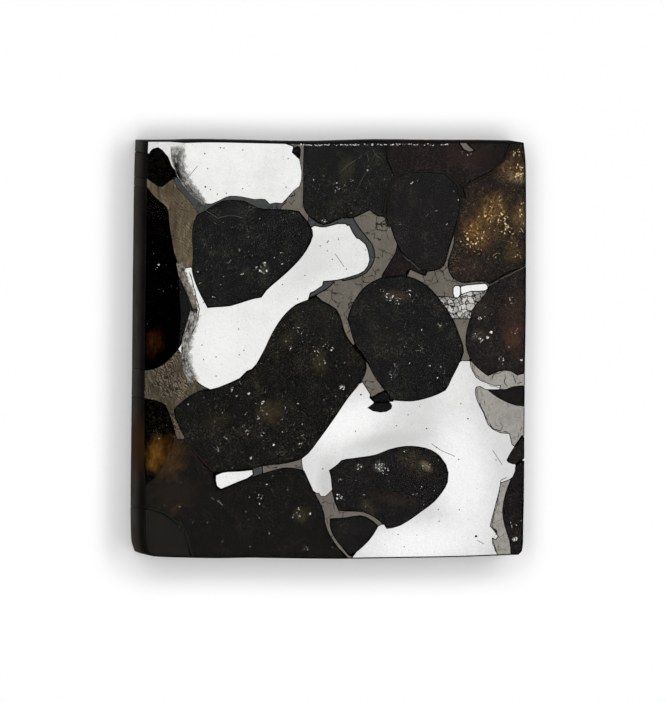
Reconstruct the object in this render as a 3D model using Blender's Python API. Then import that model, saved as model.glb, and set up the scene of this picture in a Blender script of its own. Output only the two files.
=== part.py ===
"""Squared slice of a pallasite meteorite.

The slice lies flat on its sawn back, polished face up, with its origin in the middle of the back.
Olivine crystals, nickel-iron, iron sulphide and dark rims are drawn as outlines in millimetres on
the polished face. Each one becomes a solid grain with upright walls, trimmed to the slice and cut
by the grains that come before it in the list, so that neighbours fit along one shared boundary.
"""
from math import cos, radians

import bmesh
import bpy
from mathutils import Vector

# Driving sizes, in metres
MM = 0.001
THICKNESS = 4.0 * MM
SEAM = 0.1 * MM
EDGE_CHAMFER = 0.1 * MM
FACET = 0.55 * MM
OVERSHOOT = 1.0 * MM

# A bend sharper than this in a drawn outline stays a corner
CORNER_COSINE = cos(radians(52.0))
MITRE_LIMIT = 1.6

# The polish rolls off towards the left edge, left of a crease that fades out at both ends
CREASE = [(-12.2, 17.5), (-12.3, 15.5), (-12.4, 13.0), (-12.9, 10.0), (-12.75, 6.5), (-12.4, 2.5),
          (-12.6, 0.0), (-12.7, -2.5), (-12.7, -5.0), (-12.9, -7.5), (-14.0, -9.5), (-15.6, -10.8),
          (-16.4, -11.5)]
ROLL_SLOPE = 0.07
ROLL_BOW = 0.01 / MM
ROLL_STATIONS = 4
ROLL_LEFT = -16.5 * MM
ROLL_RIGHT = 16.5 * MM

# Outline of the whole slice, clockwise from its top left corner
SLICE_OUTLINE = [
    (-15.17, 15.98), (-12.5, 16.0), (-10.8, 16.05), (-6.5, 16.0), (-3.6, 15.94), (-1.2, 15.93),
    (1.2, 16.0), (3.6, 16.06), (8.0, 16.04), (12.5, 16.03), (14.75, 16.0), (14.9, 14.9),
    (15.0, 12.3), (15.08, 7.7), (15.14, 3.1), (15.14, -1.5), (15.17, -6.2), (15.22, -10.8),
    (15.2, -13.9), (15.2, -14.9), (15.12, -15.45), (14.85, -15.74), (14.3, -15.75),
    (12.5, -15.82), (10.1, -15.9), (5.3, -15.97), (0.5, -16.02), (-4.3, -15.96), (-6.7, -15.92),
    (-9.1, -15.95), (-11.5, -15.91), (-13.5, -15.85), (-14.3, -15.8), (-14.75, -15.6),
    (-15.0, -14.95), (-15.08, -14.0), (-15.14, -11.0), (-15.16, -6.4), (-15.18, -1.8),
    (-15.21, 2.9), (-15.23, 7.5), (-15.24, 12.1), (-15.22, 14.4),
]

# Finishes: base colour, roughness, metallic
FINISHES = {
    "olivine": ((0.030, 0.028, 0.020), 0.08, 0.0),
    "brown_olivine": ((0.120, 0.060, 0.020), 0.08, 0.0),
    "metal": ((0.800, 0.800, 0.790), 0.12, 1.0),
    "troilite": ((0.240, 0.205, 0.165), 0.32, 0.8),
    "mixed": ((0.450, 0.430, 0.390), 0.35, 0.8),
    "rim": ((0.075, 0.080, 0.085), 0.30, 0.7),
    "chromite": ((0.010, 0.010, 0.010), 0.25, 0.2),
}

# The grains in cutting order: name, finish, outline. An outline may run over an earlier grain or
# past the slice's edge, because both trim it.
GRAINS = [
    ("olivine_upper_oval", "olivine", [
        (-11.35, 10.4), (-10.7, 10.75), (-10.05, 11.15), (-9.35, 11.5), (-8.45, 11.6), (-7.5, 11.5),
        (-6.45, 11.0), (-5.5, 10.9), (-3.9, 10.85), (-3.15, 10.75), (-2.75, 10.3), (-2.35, 9.8),
        (-2.05, 9.25), (-2.0, 8.8), (-2.5, 7.7), (-3.1, 6.9), (-4.3, 5.75), (-5.15, 5.05),
        (-5.65, 4.6), (-6.05, 4.05), (-6.65, 3.95), (-7.8, 3.6), (-8.5, 3.4), (-9.8, 3.3),
        (-10.35, 3.25), (-11.15, 4.7), (-11.65, 6.15), (-11.6, 7.25), (-11.7, 9.1), (-11.55, 9.95)]),
    ("olivine_middle_round", "olivine", [
        (2.75, 5.3), (3.4, 5.6), (4.2, 5.7), (5.7, 5.7), (7.1, 5.05), (8.3, 3.85), (9.2, 2.6),
        (9.85, 1.15), (10.15, 0.4), (10.2, -0.15), (9.95, -0.85), (9.25, -2.25), (8.8, -3.1),
        (8.2, -3.4), (7.15, -3.75), (6.1, -3.95), (4.35, -3.85), (4.2, -3.45), (3.85, -3.0),
        (3.2, -2.25), (2.4, -0.85), (1.4, 0.55), (1.05, 1.7), (0.8, 2.4), (0.95, 2.95),
        (1.2, 3.55), (2.05, 4.8)]),
    ("olivine_lower_oval", "olivine", [
        (-0.5, -9.2), (0.2, -8.7), (0.5, -8.4), (1.35, -8.25), (3.3, -7.95), (4.35, -7.55),
        (5.65, -7.3), (6.7, -7.35), (7.7, -7.6), (8.45, -8.1), (8.95, -8.75), (9.15, -9.4),
        (9.1, -10.15), (8.65, -10.95), (8.0, -11.7), (7.05, -12.4), (6.05, -13.1), (5.35, -13.5),
        (4.7, -13.7), (4.2, -13.75), (4.0, -13.45), (2.85, -12.65), (2.3, -12.45), (1.3, -12.4),
        (0.35, -12.35), (0.0, -11.6), (-0.25, -10.55), (-0.35, -9.7)]),
    ("olivine_big_diagonal", "olivine", [
        (-2.25, 3.95), (-1.7, 4.25), (-1.2, 3.85), (-0.6, 3.55), (0.0, 3.15), (0.3, 2.6),
        (0.5, 1.95), (0.8, 1.15), (1.7, 0.0), (2.4, -0.85), (2.45, -1.4), (2.1, -2.3),
        (1.0, -3.7), (-0.1, -5.3), (-1.35, -7.0), (-2.1, -7.95), (-2.55, -8.3), (-4.0, -8.7),
        (-5.85, -8.9), (-6.55, -9.1), (-7.5, -9.25), (-9.0, -9.35), (-9.65, -9.5), (-10.4, -8.85),
        (-11.8, -7.15), (-12.35, -6.15), (-12.85, -5.1), (-12.95, -4.55), (-12.7, -4.25),
        (-11.7, -3.45), (-10.65, -2.95), (-9.95, -2.95), (-8.35, -2.4), (-7.7, -2.1),
        (-7.15, -1.55), (-6.75, -1.4), (-5.9, -0.15), (-5.2, 1.3), (-4.35, 2.6), (-3.3, 3.55)]),
    ("olivine_upper_round", "olivine", [
        (4.8, 7.95), (4.45, 8.65), (4.15, 9.5), (3.85, 10.0), (3.7, 10.65), (3.8, 11.55),
        (4.1, 12.7), (4.65, 13.35), (5.25, 13.65), (7.25, 13.75), (8.5, 13.6), (9.55, 12.65),
        (9.75, 11.0), (9.4, 9.4), (9.1, 8.45), (8.8, 7.4), (8.5, 6.5), (8.2, 6.25),
        (7.7, 6.1), (6.7, 6.1), (6.0, 6.7), (4.95, 7.65)]),
    ("olivine_top_middle", "olivine", [
        (-2.9, 16.95), (-2.9, 15.4), (-2.93, 14.25), (-2.9, 13.1), (-2.9, 11.95),
        (-2.85, 10.95), (-2.6, 10.5), (-2.1, 10.05), (-1.65, 9.75), (-1.15, 9.6), (-0.2, 9.95),
        (0.35, 10.15), (1.1, 10.15), (2.45, 10.75), (3.1, 10.3), (3.55, 10.25), (4.3, 9.7),
        (4.9, 11.55), (4.4, 13.55), (3.9, 14.65), (3.7, 16.95)]),
    ("troilite_top_sliver", "troilite", [
        (9.45, 16.5), (9.65, 15.9), (9.95, 15.5), (10.35, 15.3), (10.75, 15.4), (10.45, 15.6),
        (10.15, 15.9), (10.1, 16.5)]),
    ("olivine_top_red", "brown_olivine", [
        (3.2, 16.95), (3.55, 14.65), (4.25, 12.7), (6.5, 12.35), (8.9, 11.95), (10.2, 11.7),
        (10.0, 12.5), (10.5, 12.95), (12.1, 13.7), (13.2, 14.8), (13.7, 16.0), (13.95, 16.95)]),
    ("olivine_amber_corner", "brown_olivine", [
        (8.75, 6.45), (8.8, 6.95), (9.15, 7.95), (9.25, 8.85), (8.9, 9.65), (8.9, 11.55),
        (9.1, 12.9), (10.0, 13.4), (11.5, 14.2), (12.85, 16.95), (16.05, 16.95), (16.2, 6.95),
        (15.15, 6.45), (14.05, 6.1), (13.0, 5.6), (12.15, 5.05), (11.8, 5.3), (10.6, 5.2),
        (10.05, 5.15), (9.15, 5.6), (8.9, 6.0)]),
    ("olivine_right_edge", "brown_olivine", [
        (12.05, 4.8), (11.75, 4.3), (10.7, 3.05), (10.65, 2.6), (10.4, 1.7), (10.3, 0.45),
        (10.7, -0.7), (10.85, -0.95), (11.7, -1.7), (12.15, -2.0), (13.5, -1.55), (14.0, -1.65),
        (14.5, -1.95), (15.3, -1.75), (16.35, -1.7), (16.2, 7.3), (15.0, 7.3), (13.8, 6.8),
        (12.5, 6.0)]),
    ("olivine_small_red", "brown_olivine", [
        (4.7, 8.35), (5.6, 7.7), (7.0, 6.8), (7.2, 6.1), (7.05, 5.7), (6.7, 5.8), (6.25, 6.0),
        (5.8, 6.2), (5.55, 6.0), (5.6, 5.7), (5.3, 5.25), (4.2, 5.25), (3.5, 5.3), (3.5, 5.8),
        (3.85, 6.35), (4.25, 7.0), (4.55, 7.5)]),
    ("olivine_left_edge", "olivine", [
        (-16.35, 12.5), (-15.15, 12.5), (-14.8, 12.0), (-14.3, 11.55), (-13.6, 10.95),
        (-13.45, 10.0), (-13.25, 8.7), (-12.8, 6.95), (-12.25, 6.1), (-11.95, 5.0),
        (-11.45, 4.0), (-11.1, 3.1), (-11.35, 2.3), (-11.9, 1.25), (-12.6, 0.1), (-13.15, -0.6),
        (-13.7, -1.1), (-14.25, -1.4), (-15.25, -1.6), (-16.1, -1.6)]),
    ("olivine_top_left", "olivine", [
        (-16.2, 13.0), (-16.2, 14.95), (-15.1, 15.1), (-15.0, 15.3), (-14.8, 15.5), (-14.4, 15.6),
        (-14.05, 15.4), (-13.55, 14.8), (-13.45, 14.25), (-12.9, 13.45), (-13.05, 13.15),
        (-13.4, 13.0), (-14.0, 12.5), (-14.35, 12.5), (-15.2, 13.1)]),
    ("olivine_right_strip", "olivine", [
        (12.0, -2.95), (13.15, -2.95), (13.6, -2.95), (14.1, -2.75), (15.2, -2.65), (16.35, -2.6),
        (16.35, -4.55), (15.25, -4.45), (13.95, -4.1), (12.65, -3.45)]),
    ("olivine_right_wedge", "olivine", [
        (14.95, -6.5), (14.65, -6.95), (14.0, -7.85), (13.7, -8.45), (13.85, -8.65),
        (14.25, -8.8), (14.6, -8.75), (15.3, -8.35), (16.45, -8.1), (16.4, -6.95), (15.35, -6.7)]),
    ("olivine_right_lens", "olivine", [
        (16.45, -8.1), (15.3, -8.35), (14.6, -8.75), (14.4, -8.95), (14.4, -9.25), (14.05, -10.0),
        (13.65, -11.1), (13.45, -12.35), (13.65, -13.5), (14.05, -14.65), (14.2, -15.85),
        (14.25, -16.8), (16.55, -16.8)]),
    ("olivine_bottom_wedge", "olivine", [
        (-0.35, -12.9), (1.05, -12.8), (2.1, -12.65), (2.55, -12.75), (3.15, -13.1), (3.6, -13.5),
        (3.45, -13.8), (2.85, -14.65), (2.1, -15.35), (1.45, -15.85), (1.15, -15.7),
        (0.7, -15.2), (0.05, -14.4), (-0.35, -13.5)]),
    ("olivine_bottom_left", "olivine", [
        (-15.95, -12.15), (-14.75, -12.15), (-13.55, -12.5), (-12.5, -13.25), (-11.9, -13.8),
        (-11.4, -15.35), (-11.15, -16.8), (-15.85, -16.8)]),
    ("olivine_lower_left", "olivine", [
        (-16.1, -3.6), (-15.1, -3.65), (-14.45, -3.75), (-13.85, -3.95), (-13.5, -4.15),
        (-13.25, -4.7), (-12.8, -6.0), (-12.6, -6.75), (-12.1, -6.75), (-11.6, -6.9),
        (-10.8, -7.7), (-9.9, -8.85), (-9.6, -9.5), (-9.5, -10.0), (-9.42, -10.4), (-9.05, -10.66), (-7.6, -10.06),
        (-6.85, -9.78), (-5.0, -9.2), (-4.2, -9.0), (-3.35, -9.0), (-2.4, -9.2), (-1.7, -10.65),
        (-0.75, -12.55), (-0.7, -13.1), (-0.3, -14.15), (0.45, -15.2), (1.15, -15.9),
        (1.35, -16.8), (-15.85, -16.8)]),
    ("olivine_top_chip", "olivine", [
        (-3.75, 15.55), (-3.85, 15.2), (-3.3, 14.7), (-3.15, 14.65), (-3.08, 15.0), (-3.05, 15.4),
        (-3.15, 15.65), (-3.4, 15.7)]),
    ("olivine_drop", "olivine", [
        (2.9, -3.6), (3.4, -3.35), (3.85, -3.1), (4.5, -3.3), (4.65, -3.95), (4.2, -3.98),
        (3.0, -3.98)]),
    ("chromite_lens", "chromite", [
        (2.65, -4.4), (3.0, -4.15), (3.55, -4.08), (4.35, -4.08), (4.45, -4.25), (4.4, -4.45),
        (4.05, -4.65), (3.55, -4.7), (3.0, -4.6)]),
    ("metal_top", "metal", [
        (-16.0, 16.5), (-15.9, 15.3), (-15.25, 15.2), (-15.0, 15.0), (-14.6, 15.2), (-13.6, 14.9),
        (-13.3, 14.15), (-13.05, 13.85), (-12.85, 13.35), (-12.1, 12.4), (-11.75, 12.0),
        (-11.3, 11.8), (-11.1, 11.5), (-10.45, 11.3), (-10.15, 11.3), (-9.05, 11.8), (-8.7, 11.9),
        (-7.75, 11.85), (-6.7, 11.65), (-5.85, 11.65), (-5.5, 11.3), (-5.05, 11.4), (-4.55, 11.35),
        (-4.25, 11.65), (-3.6, 12.35), (-3.2, 12.65), (-3.05, 13.7), (-3.15, 14.25), (-3.25, 14.7),
        (-3.8, 15.25), (-3.75, 15.65), (-4.45, 15.9), (-4.65, 16.95), (-16.0, 16.95)]),
    ("metal_middle_band", "metal", [
        (-1.9, 9.55), (-1.4, 9.45), (-1.05, 9.45), (-0.45, 9.6), (-0.05, 9.7), (0.55, 9.7),
        (0.7, 9.55), (0.85, 9.6), (1.45, 8.6), (1.65, 8.55), (2.15, 8.15), (2.45, 7.3),
        (2.5, 6.95), (2.1, 6.15), (1.15, 5.75), (-0.05, 5.45), (-1.15, 5.35), (-1.25, 5.0),
        (-1.85, 4.6), (-2.2, 4.45), (-2.35, 3.95), (-3.0, 3.2), (-4.0, 2.2), (-5.25, 0.3),
        (-6.1, -1.3), (-6.6, -1.8), (-7.15, -1.9), (-7.7, -2.5), (-8.55, -2.8), (-9.7, -3.2),
        (-10.15, -2.9), (-10.5, -2.75), (-10.9, -2.5), (-11.7, -1.6), (-12.15, -0.9),
        (-12.3, -0.55), (-12.35, -0.25), (-12.9, 0.4), (-12.1, 1.55), (-11.3, 3.15), (-11.7, 4.0),
        (-12.05, 4.95), (-12.3, 5.7), (-12.15, 6.3), (-11.75, 6.35), (-11.35, 6.2), (-11.25, 5.4),
        (-10.75, 4.3), (-10.25, 3.55), (-8.6, 3.7), (-7.4, 4.15), (-6.05, 4.8), (-5.0, 5.7),
        (-3.85, 6.8), (-2.9, 7.7), (-2.4, 8.65), (-2.2, 9.4)]),
    ("metal_left_bar", "metal", [
        (-9.45, -9.6), (-8.95, -9.4), (-7.5, -9.3), (-6.6, -9.2), (-6.55, -9.5), (-7.0, -9.8),
        (-7.7, -10.05), (-8.4, -10.35), (-9.05, -10.6), (-9.35, -10.4), (-9.45, -10.0)]),
    ("metal_right_bead", "metal", [
        (9.3, 4.8), (9.45, 4.95), (9.7, 4.95), (9.8, 4.8), (9.8, 4.3), (9.65, 4.1), (9.4, 4.1),
        (9.3, 4.4)]),
    ("metal_right_bar", "metal", [
        (9.9, 4.9), (10.35, 5.0), (10.95, 5.05), (11.5, 5.1), (11.8, 5.12), (11.95, 5.0),
        (12.0, 4.8), (11.85, 4.65), (10.7, 4.6), (10.2, 4.45), (9.95, 4.35), (9.9, 4.6)]),
    ("metal_lower_right", "metal", [
        (9.95, -0.9), (10.05, -0.85), (10.65, -0.85), (10.7, -1.25), (10.85, -1.6), (11.15, -2.1),
        (11.6, -2.4), (12.2, -2.6), (12.65, -2.75), (13.1, -2.75), (13.05, -2.95), (12.0, -2.95),
        (11.55, -2.7), (11.2, -2.75), (11.1, -2.95), (11.25, -3.85), (11.8, -4.85), (12.15, -5.7),
        (12.55, -6.1), (13.2, -6.4), (13.9, -6.45), (14.1, -7.25), (14.35, -7.45), (14.1, -8.15),
        (14.35, -8.65), (14.5, -9.0), (14.3, -9.65), (13.95, -9.9), (13.25, -10.15),
        (13.2, -10.5), (12.8, -12.1), (12.5, -13.25), (12.45, -13.55), (12.65, -13.75),
        (13.1, -14.3), (12.95, -14.5), (12.65, -14.35), (12.65, -14.65), (12.85, -15.1),
        (13.05, -15.7), (13.2, -16.8), (0.95, -16.8), (1.5, -16.0), (2.1, -15.25), (2.65, -14.65),
        (3.05, -14.0), (3.6, -13.55), (3.8, -13.45), (4.2, -13.4), (5.3, -12.7), (7.25, -11.55),
        (8.45, -10.4), (8.5, -8.85), (7.2, -7.85), (5.2, -7.8), (2.8, -8.4), (0.8, -8.7),
        (-0.15, -9.4), (-0.05, -10.15), (-0.2, -10.65), (-0.5, -10.95), (-0.75, -11.15),
        (-1.05, -11.15), (-1.2, -10.9), (-1.4, -10.9), (-1.85, -10.65), (-2.35, -9.55),
        (-2.6, -8.4), (-2.5, -7.85), (-1.6, -6.8), (-0.85, -5.55), (0.35, -4.0), (1.3, -2.95),
        (2.1, -2.5), (2.4, -2.95), (2.7, -3.4), (2.65, -3.65), (3.0, -4.0), (2.9, -4.25),
        (2.7, -4.4), (3.0, -4.6), (3.55, -4.7), (4.05, -4.65), (4.4, -4.45), (4.45, -4.25),
        (4.35, -4.05), (4.3, -3.55), (6.1, -3.55), (8.1, -2.95), (8.75, -2.3)]),
    ("rim_under_top_metal", "rim", [
        (-13.05, 13.35), (-11.95, 12.35), (-10.8, 11.65), (-10.15, 11.65), (-8.55, 12.25),
        (-6.65, 12.0), (-5.1, 11.7), (-4.15, 11.85), (-4.25, 11.4), (-4.6, 11.1), (-4.75, 10.7),
        (-6.7, 10.8), (-9.05, 11.25), (-10.0, 10.85), (-10.55, 10.5), (-11.15, 10.55),
        (-11.45, 11.0), (-11.9, 11.55), (-13.1, 13.0)]),
    ("rim_round_middle_metal", "rim", [
        (-2.35, 10.5), (-1.65, 10.0), (-1.0, 9.8), (0.9, 10.5), (1.3, 9.85), (1.85, 9.1),
        (2.25, 8.65), (2.65, 8.15), (2.9, 7.25), (2.6, 6.45), (2.25, 6.0), (1.65, 5.7),
        (0.45, 5.4), (0.2, 5.6), (1.0, 6.15), (1.95, 6.8), (1.9, 7.7), (1.1, 8.45), (0.55, 9.4),
        (-1.05, 9.15), (-1.7, 9.25), (-2.05, 9.1), (-2.35, 9.55)]),
    ("rim_wedge", "rim", [
        (-1.35, 5.55), (-0.3, 5.45), (-0.35, 5.25), (-0.6, 5.0), (-0.9, 4.75), (-1.4, 4.5),
        (-1.75, 4.3), (-2.1, 4.15), (-2.5, 4.15), (-2.5, 4.6), (-1.7, 5.1)]),
    ("rim_bar_tip", "rim", [
        (-6.8, -9.0), (-5.85, -8.7), (-5.8, -9.75), (-6.75, -10.1)]),
    ("mixed_patch", "mixed", [
        (8.05, 4.1), (8.7, 4.1), (9.2, 4.0), (9.85, 4.1), (10.0, 4.3), (10.45, 4.45), (11.25, 4.55),
        (12.2, 4.55), (12.25, 4.15), (11.3, 2.95), (10.95, 2.5), (9.85, 2.5), (8.8, 2.55)]),
    ("troilite_left", "troilite", [
        (-16.2, 13.25), (-13.95, 13.1), (-12.9, 13.85), (-12.35, 12.7), (-11.45, 11.55),
        (-10.95, 10.8), (-10.95, 10.3), (-11.25, 9.65), (-11.3, 6.8), (-11.65, 6.3), (-12.25, 6.3),
        (-12.95, 6.3), (-13.85, 8.45), (-14.3, 10.65), (-16.2, 11.55)]),
    ("troilite_top_wedge", "troilite", [
        (-4.45, 11.25), (-3.9, 11.85), (-3.4, 12.6), (-3.3, 13.7), (-3.5, 14.7), (-4.1, 15.2),
        (-4.3, 16.95), (-2.6, 16.95), (-2.6, 12.35), (-2.45, 10.95),
        (-1.8, 9.9), (-1.8, 9.55), (-2.0, 8.9), (-2.65, 9.55), (-3.4, 10.5), (-4.7, 10.7)]),
    ("troilite_centre", "troilite", [
        (0.9, 10.45), (1.85, 11.0), (3.15, 10.95), (4.45, 10.4), (5.2, 7.95), (4.35, 6.55),
        (3.85, 5.6), (2.3, 3.85), (1.35, 2.45), (1.75, 0.7), (1.25, 0.4), (0.35, 1.55),
        (-0.35, 2.95), (-1.55, 3.55), (-1.7, 4.2), (-1.4, 4.6), (-1.2, 5.15), (0.2, 5.85),
        (1.8, 6.8), (1.9, 7.7), (1.35, 8.85)]),
    ("troilite_right", "troilite", [
        (5.65, 5.85), (5.8, 6.15), (6.6, 6.45), (7.85, 6.8), (8.65, 7.3), (8.8, 8.45), (9.1, 8.9),
        (9.5, 8.9), (9.6, 7.85), (9.2, 6.8), (9.65, 5.7), (10.75, 5.3), (12.15, 5.3), (12.2, 4.6),
        (11.15, 3.6), (8.4, 3.2), (7.45, 3.85), (6.2, 5.1), (5.4, 5.5)]),
    ("troilite_tail", "troilite", [
        (8.6, 2.8), (11.2, 2.8), (11.0, 1.2), (10.8, 0.3), (10.75, -0.4), (10.5, -0.95),
        (9.8, -0.95), (9.9, -0.2), (9.6, 0.6)]),
    ("troilite_small_triangle", "troilite", [
        (2.45, -0.85), (2.85, -1.25), (3.5, -2.4), (4.1, -3.05), (3.85, -3.05), (2.9, -3.55),
        (1.9, -2.4), (2.05, -1.55)]),
    ("troilite_lower_left", "troilite", [
        (-16.2, -1.25), (-13.75, -0.6), (-12.85, 0.4), (-12.05, 0.4), (-11.7, -0.9),
        (-10.6, -2.15), (-10.1, -2.95), (-10.85, -3.7), (-12.15, -4.15), (-12.4, -4.8),
        (-11.95, -6.0), (-11.95, -6.75), (-12.75, -6.75), (-13.4, -4.8), (-14.05, -4.3),
        (-16.2, -4.0)]),
    ("troilite_thin_vein", "troilite", [
        (-5.85, -8.65), (-4.4, -8.3), (-2.8, -8.0), (-2.5, -8.0), (-2.15, -9.55), (-3.6, -9.3),
        (-4.8, -9.4), (-5.8, -9.8)]),
    ("troilite_fork", "troilite", [
        (-2.1, -10.3), (-1.0, -10.65), (-0.05, -10.3), (0.3, -11.55), (0.85, -12.15), (2.3, -12.35),
        (3.05, -12.55), (3.85, -13.15), (4.0, -13.4), (3.6, -13.6), (2.5, -13.0), (1.3, -13.1),
        (0.0, -13.25), (0.2, -14.25), (1.8, -15.65), (1.65, -16.8), (0.85, -16.8), (0.7, -15.85),
        (-0.45, -15.0), (-1.1, -13.25)]),
    ("troilite_right_plate", "troilite", [
        (11.2, -2.6), (12.2, -2.6), (12.85, -3.25), (13.95, -3.7), (16.35, -4.15), (16.4, -6.8),
        (15.3, -6.95), (14.2, -7.85), (13.7, -6.95), (12.4, -6.45), (11.05, -3.85)]),
    ("troilite_right_shard", "troilite", [
        (10.55, -0.8), (11.5, -1.1), (12.3, -1.55), (13.6, -1.25), (14.7, -1.55), (16.3, -1.4),
        (16.35, -2.95), (13.55, -3.1), (13.15, -3.0), (11.85, -2.75), (10.7, -1.7)]),
    ("troilite_right_strip", "troilite", [
        (13.1, -9.8), (14.1, -9.95), (14.4, -11.55), (14.3, -13.85), (14.65, -16.8), (12.4, -16.8),
        (12.05, -14.65), (12.15, -12.35)]),
]


def clear_scene():
    """Remove every object and its mesh."""
    for item in list(bpy.data.objects):
        bpy.data.objects.remove(item)
    for mesh in list(bpy.data.meshes):
        bpy.data.meshes.remove(mesh)


def smooth_outline(points):
    """Turn hand-drawn millimetre points into a closed run of facets in metres, keeping corners."""
    drawn = [Vector(point) * MM for point in points]
    count = len(drawn)
    tangents = []
    for i, here in enumerate(drawn):
        before = here - drawn[i - 1]
        after = drawn[(i + 1) % count] - here
        sharp = before.normalized().dot(after.normalized()) < CORNER_COSINE
        tangents.append(None if sharp else (before.normalized() + after.normalized()).normalized())
    run = []
    for i, start in enumerate(drawn):
        end = drawn[(i + 1) % count]
        span = end - start
        leave = (tangents[i] or span.normalized()) * span.length
        arrive = (tangents[(i + 1) % count] or span.normalized()) * span.length
        straight = tangents[i] is None and tangents[(i + 1) % count] is None
        pieces = 1 if straight else max(1, round(span.length / FACET))
        for step in range(pieces):
            t = step / pieces
            run.append(start * (2 * t**3 - 3 * t**2 + 1) + leave * (t**3 - 2 * t**2 + t)
                       + end * (3 * t**2 - 2 * t**3) + arrive * (t**3 - t**2))
    return run


def signed_area(run):
    """Area inside a closed run, positive when it goes round anticlockwise."""
    return 0.5 * sum(run[i - 1].x * here.y - here.x * run[i - 1].y for i, here in enumerate(run))


def grown(run, distance):
    """Move a closed run outwards by a distance, or inwards by a negative one."""
    side = 1.0 if signed_area(run) > 0 else -1.0
    moved = []
    for i, here in enumerate(run):
        before = (here - run[i - 1]).normalized()
        after = (run[(i + 1) % len(run)] - here).normalized()
        normal = Vector((before.y + after.y, -before.x - after.x)).normalized() * side
        edge = Vector((after.y, -after.x)) * side
        reach = min(MITRE_LIMIT, 1.0 / max(normal.dot(edge), 0.1))
        moved.append(here + normal * distance * reach)
    return moved


def prism(name, run, bottom, top):
    """Make a closed upright solid by extruding a run of points from one height to another."""
    shape = bmesh.new()
    ring = run if signed_area(run) > 0 else list(reversed(run))
    base = shape.faces.new([shape.verts.new((point.x, point.y, bottom)) for point in ring])
    sweep = bmesh.ops.extrude_face_region(shape, geom=[base])
    raised = [item for item in sweep["geom"] if isinstance(item, bmesh.types.BMVert)]
    bmesh.ops.translate(shape, verts=raised, vec=(0.0, 0.0, top - bottom))
    bmesh.ops.recalc_face_normals(shape, faces=shape.faces[:])
    mesh = bpy.data.meshes.new(name)
    shape.to_mesh(mesh)
    shape.free()
    item = bpy.data.objects.new(name, mesh)
    bpy.context.scene.collection.objects.link(item)
    return item


def hide_as_cutter(item):
    """Mark an object as a tool that is not part of the slice."""
    item.display_type = "WIRE"
    item.hide_render = True


def add_boolean(item, tool, operation):
    """Cut or trim an object with another by an exact Boolean."""
    cut = item.modifiers.new(tool.name, "BOOLEAN")
    cut.operation = operation
    cut.solver = "EXACT"
    cut.object = tool


def crease_at(y):
    """Where the roll-off starts at a height y on the face, in metres."""
    for (x_high, y_high), (x_low, y_low) in zip(CREASE, CREASE[1:]):
        if y >= y_low * MM:
            share = (y / MM - y_low) / (y_high - y_low)
            return (x_low + (x_high - x_low) * share) * MM
    return CREASE[-1][0] * MM


def make_polish_block():
    """Block whose top is the polished face: flat, and rolled off left of the crease."""
    shape = bmesh.new()
    rows = []
    for _, y_mm in CREASE:
        y = y_mm * MM
        crease = crease_at(y)
        stations = [ROLL_LEFT + (crease - ROLL_LEFT) * step / ROLL_STATIONS
                    for step in range(ROLL_STATIONS + 1)]
        row = []
        for x in stations + [ROLL_RIGHT]:
            past = max(0.0, crease - x)
            drop = ROLL_SLOPE * past + ROLL_BOW * past**2 if crease > ROLL_LEFT else 0.0
            row.append(shape.verts.new((x, y, THICKNESS - drop)))
        rows.append(row)
    foot = -17.5 * MM
    rows.append([shape.verts.new((vertex.co.x, foot, THICKNESS)) for vertex in rows[-1]])
    for upper, lower in zip(rows, rows[1:]):
        for i in range(len(upper) - 1):
            shape.faces.new((lower[i], lower[i + 1], upper[i + 1], upper[i]))
    sweep = bmesh.ops.extrude_face_region(shape, geom=shape.faces[:])
    sunk = [item for item in sweep["geom"] if isinstance(item, bmesh.types.BMVert)]
    for vertex in sunk:
        vertex.co.z = -OVERSHOOT
    bmesh.ops.recalc_face_normals(shape, faces=shape.faces[:])
    mesh = bpy.data.meshes.new("polish_block")
    shape.to_mesh(mesh)
    shape.free()
    block = bpy.data.objects.new("polish_block", mesh)
    bpy.context.scene.collection.objects.link(block)
    hide_as_cutter(block)
    return block


def make_slice_block():
    """The whole slice as one sawn block with chamfered edges, used to trim every grain."""
    edge = smooth_outline(SLICE_OUTLINE)
    block = prism("slice_block", edge, 0.0, THICKNESS)
    rim = block.data.attributes.new("bevel_weight_edge", "FLOAT", "EDGE")
    for side in block.data.edges:
        first, second = [block.data.vertices[i].co.z for i in side.vertices]
        rim.data[side.index].value = 1.0 if abs(first - second) < 0.01 * MM else 0.0
    bevel = block.modifiers.new("edge_chamfer", "BEVEL")
    bevel.width = EDGE_CHAMFER
    bevel.segments = 1
    bevel.limit_method = "WEIGHT"
    add_boolean(block, make_polish_block(), "INTERSECT")
    hide_as_cutter(block)
    return block


def make_finish(name, finish):
    """A grain's own Principled material."""
    colour, roughness, metallic = FINISHES[finish]
    material = bpy.data.materials.new(name + "_finish")
    material.use_nodes = True
    shader = material.node_tree.nodes["Principled BSDF"]
    shader.inputs["Base Color"].default_value = (*colour, 1.0)
    shader.inputs["Roughness"].default_value = roughness
    shader.inputs["Metallic"].default_value = metallic
    material.diffuse_color = (*colour, 1.0)
    return material


def box_of(run):
    """Lowest and highest corners of a run."""
    xs = [point.x for point in run]
    ys = [point.y for point in run]
    return min(xs), min(ys), max(xs), max(ys)


def boxes_meet(one, other):
    """Whether two boxes on the face overlap."""
    return one[0] < other[2] and other[0] < one[2] and one[1] < other[3] and other[1] < one[3]


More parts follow.
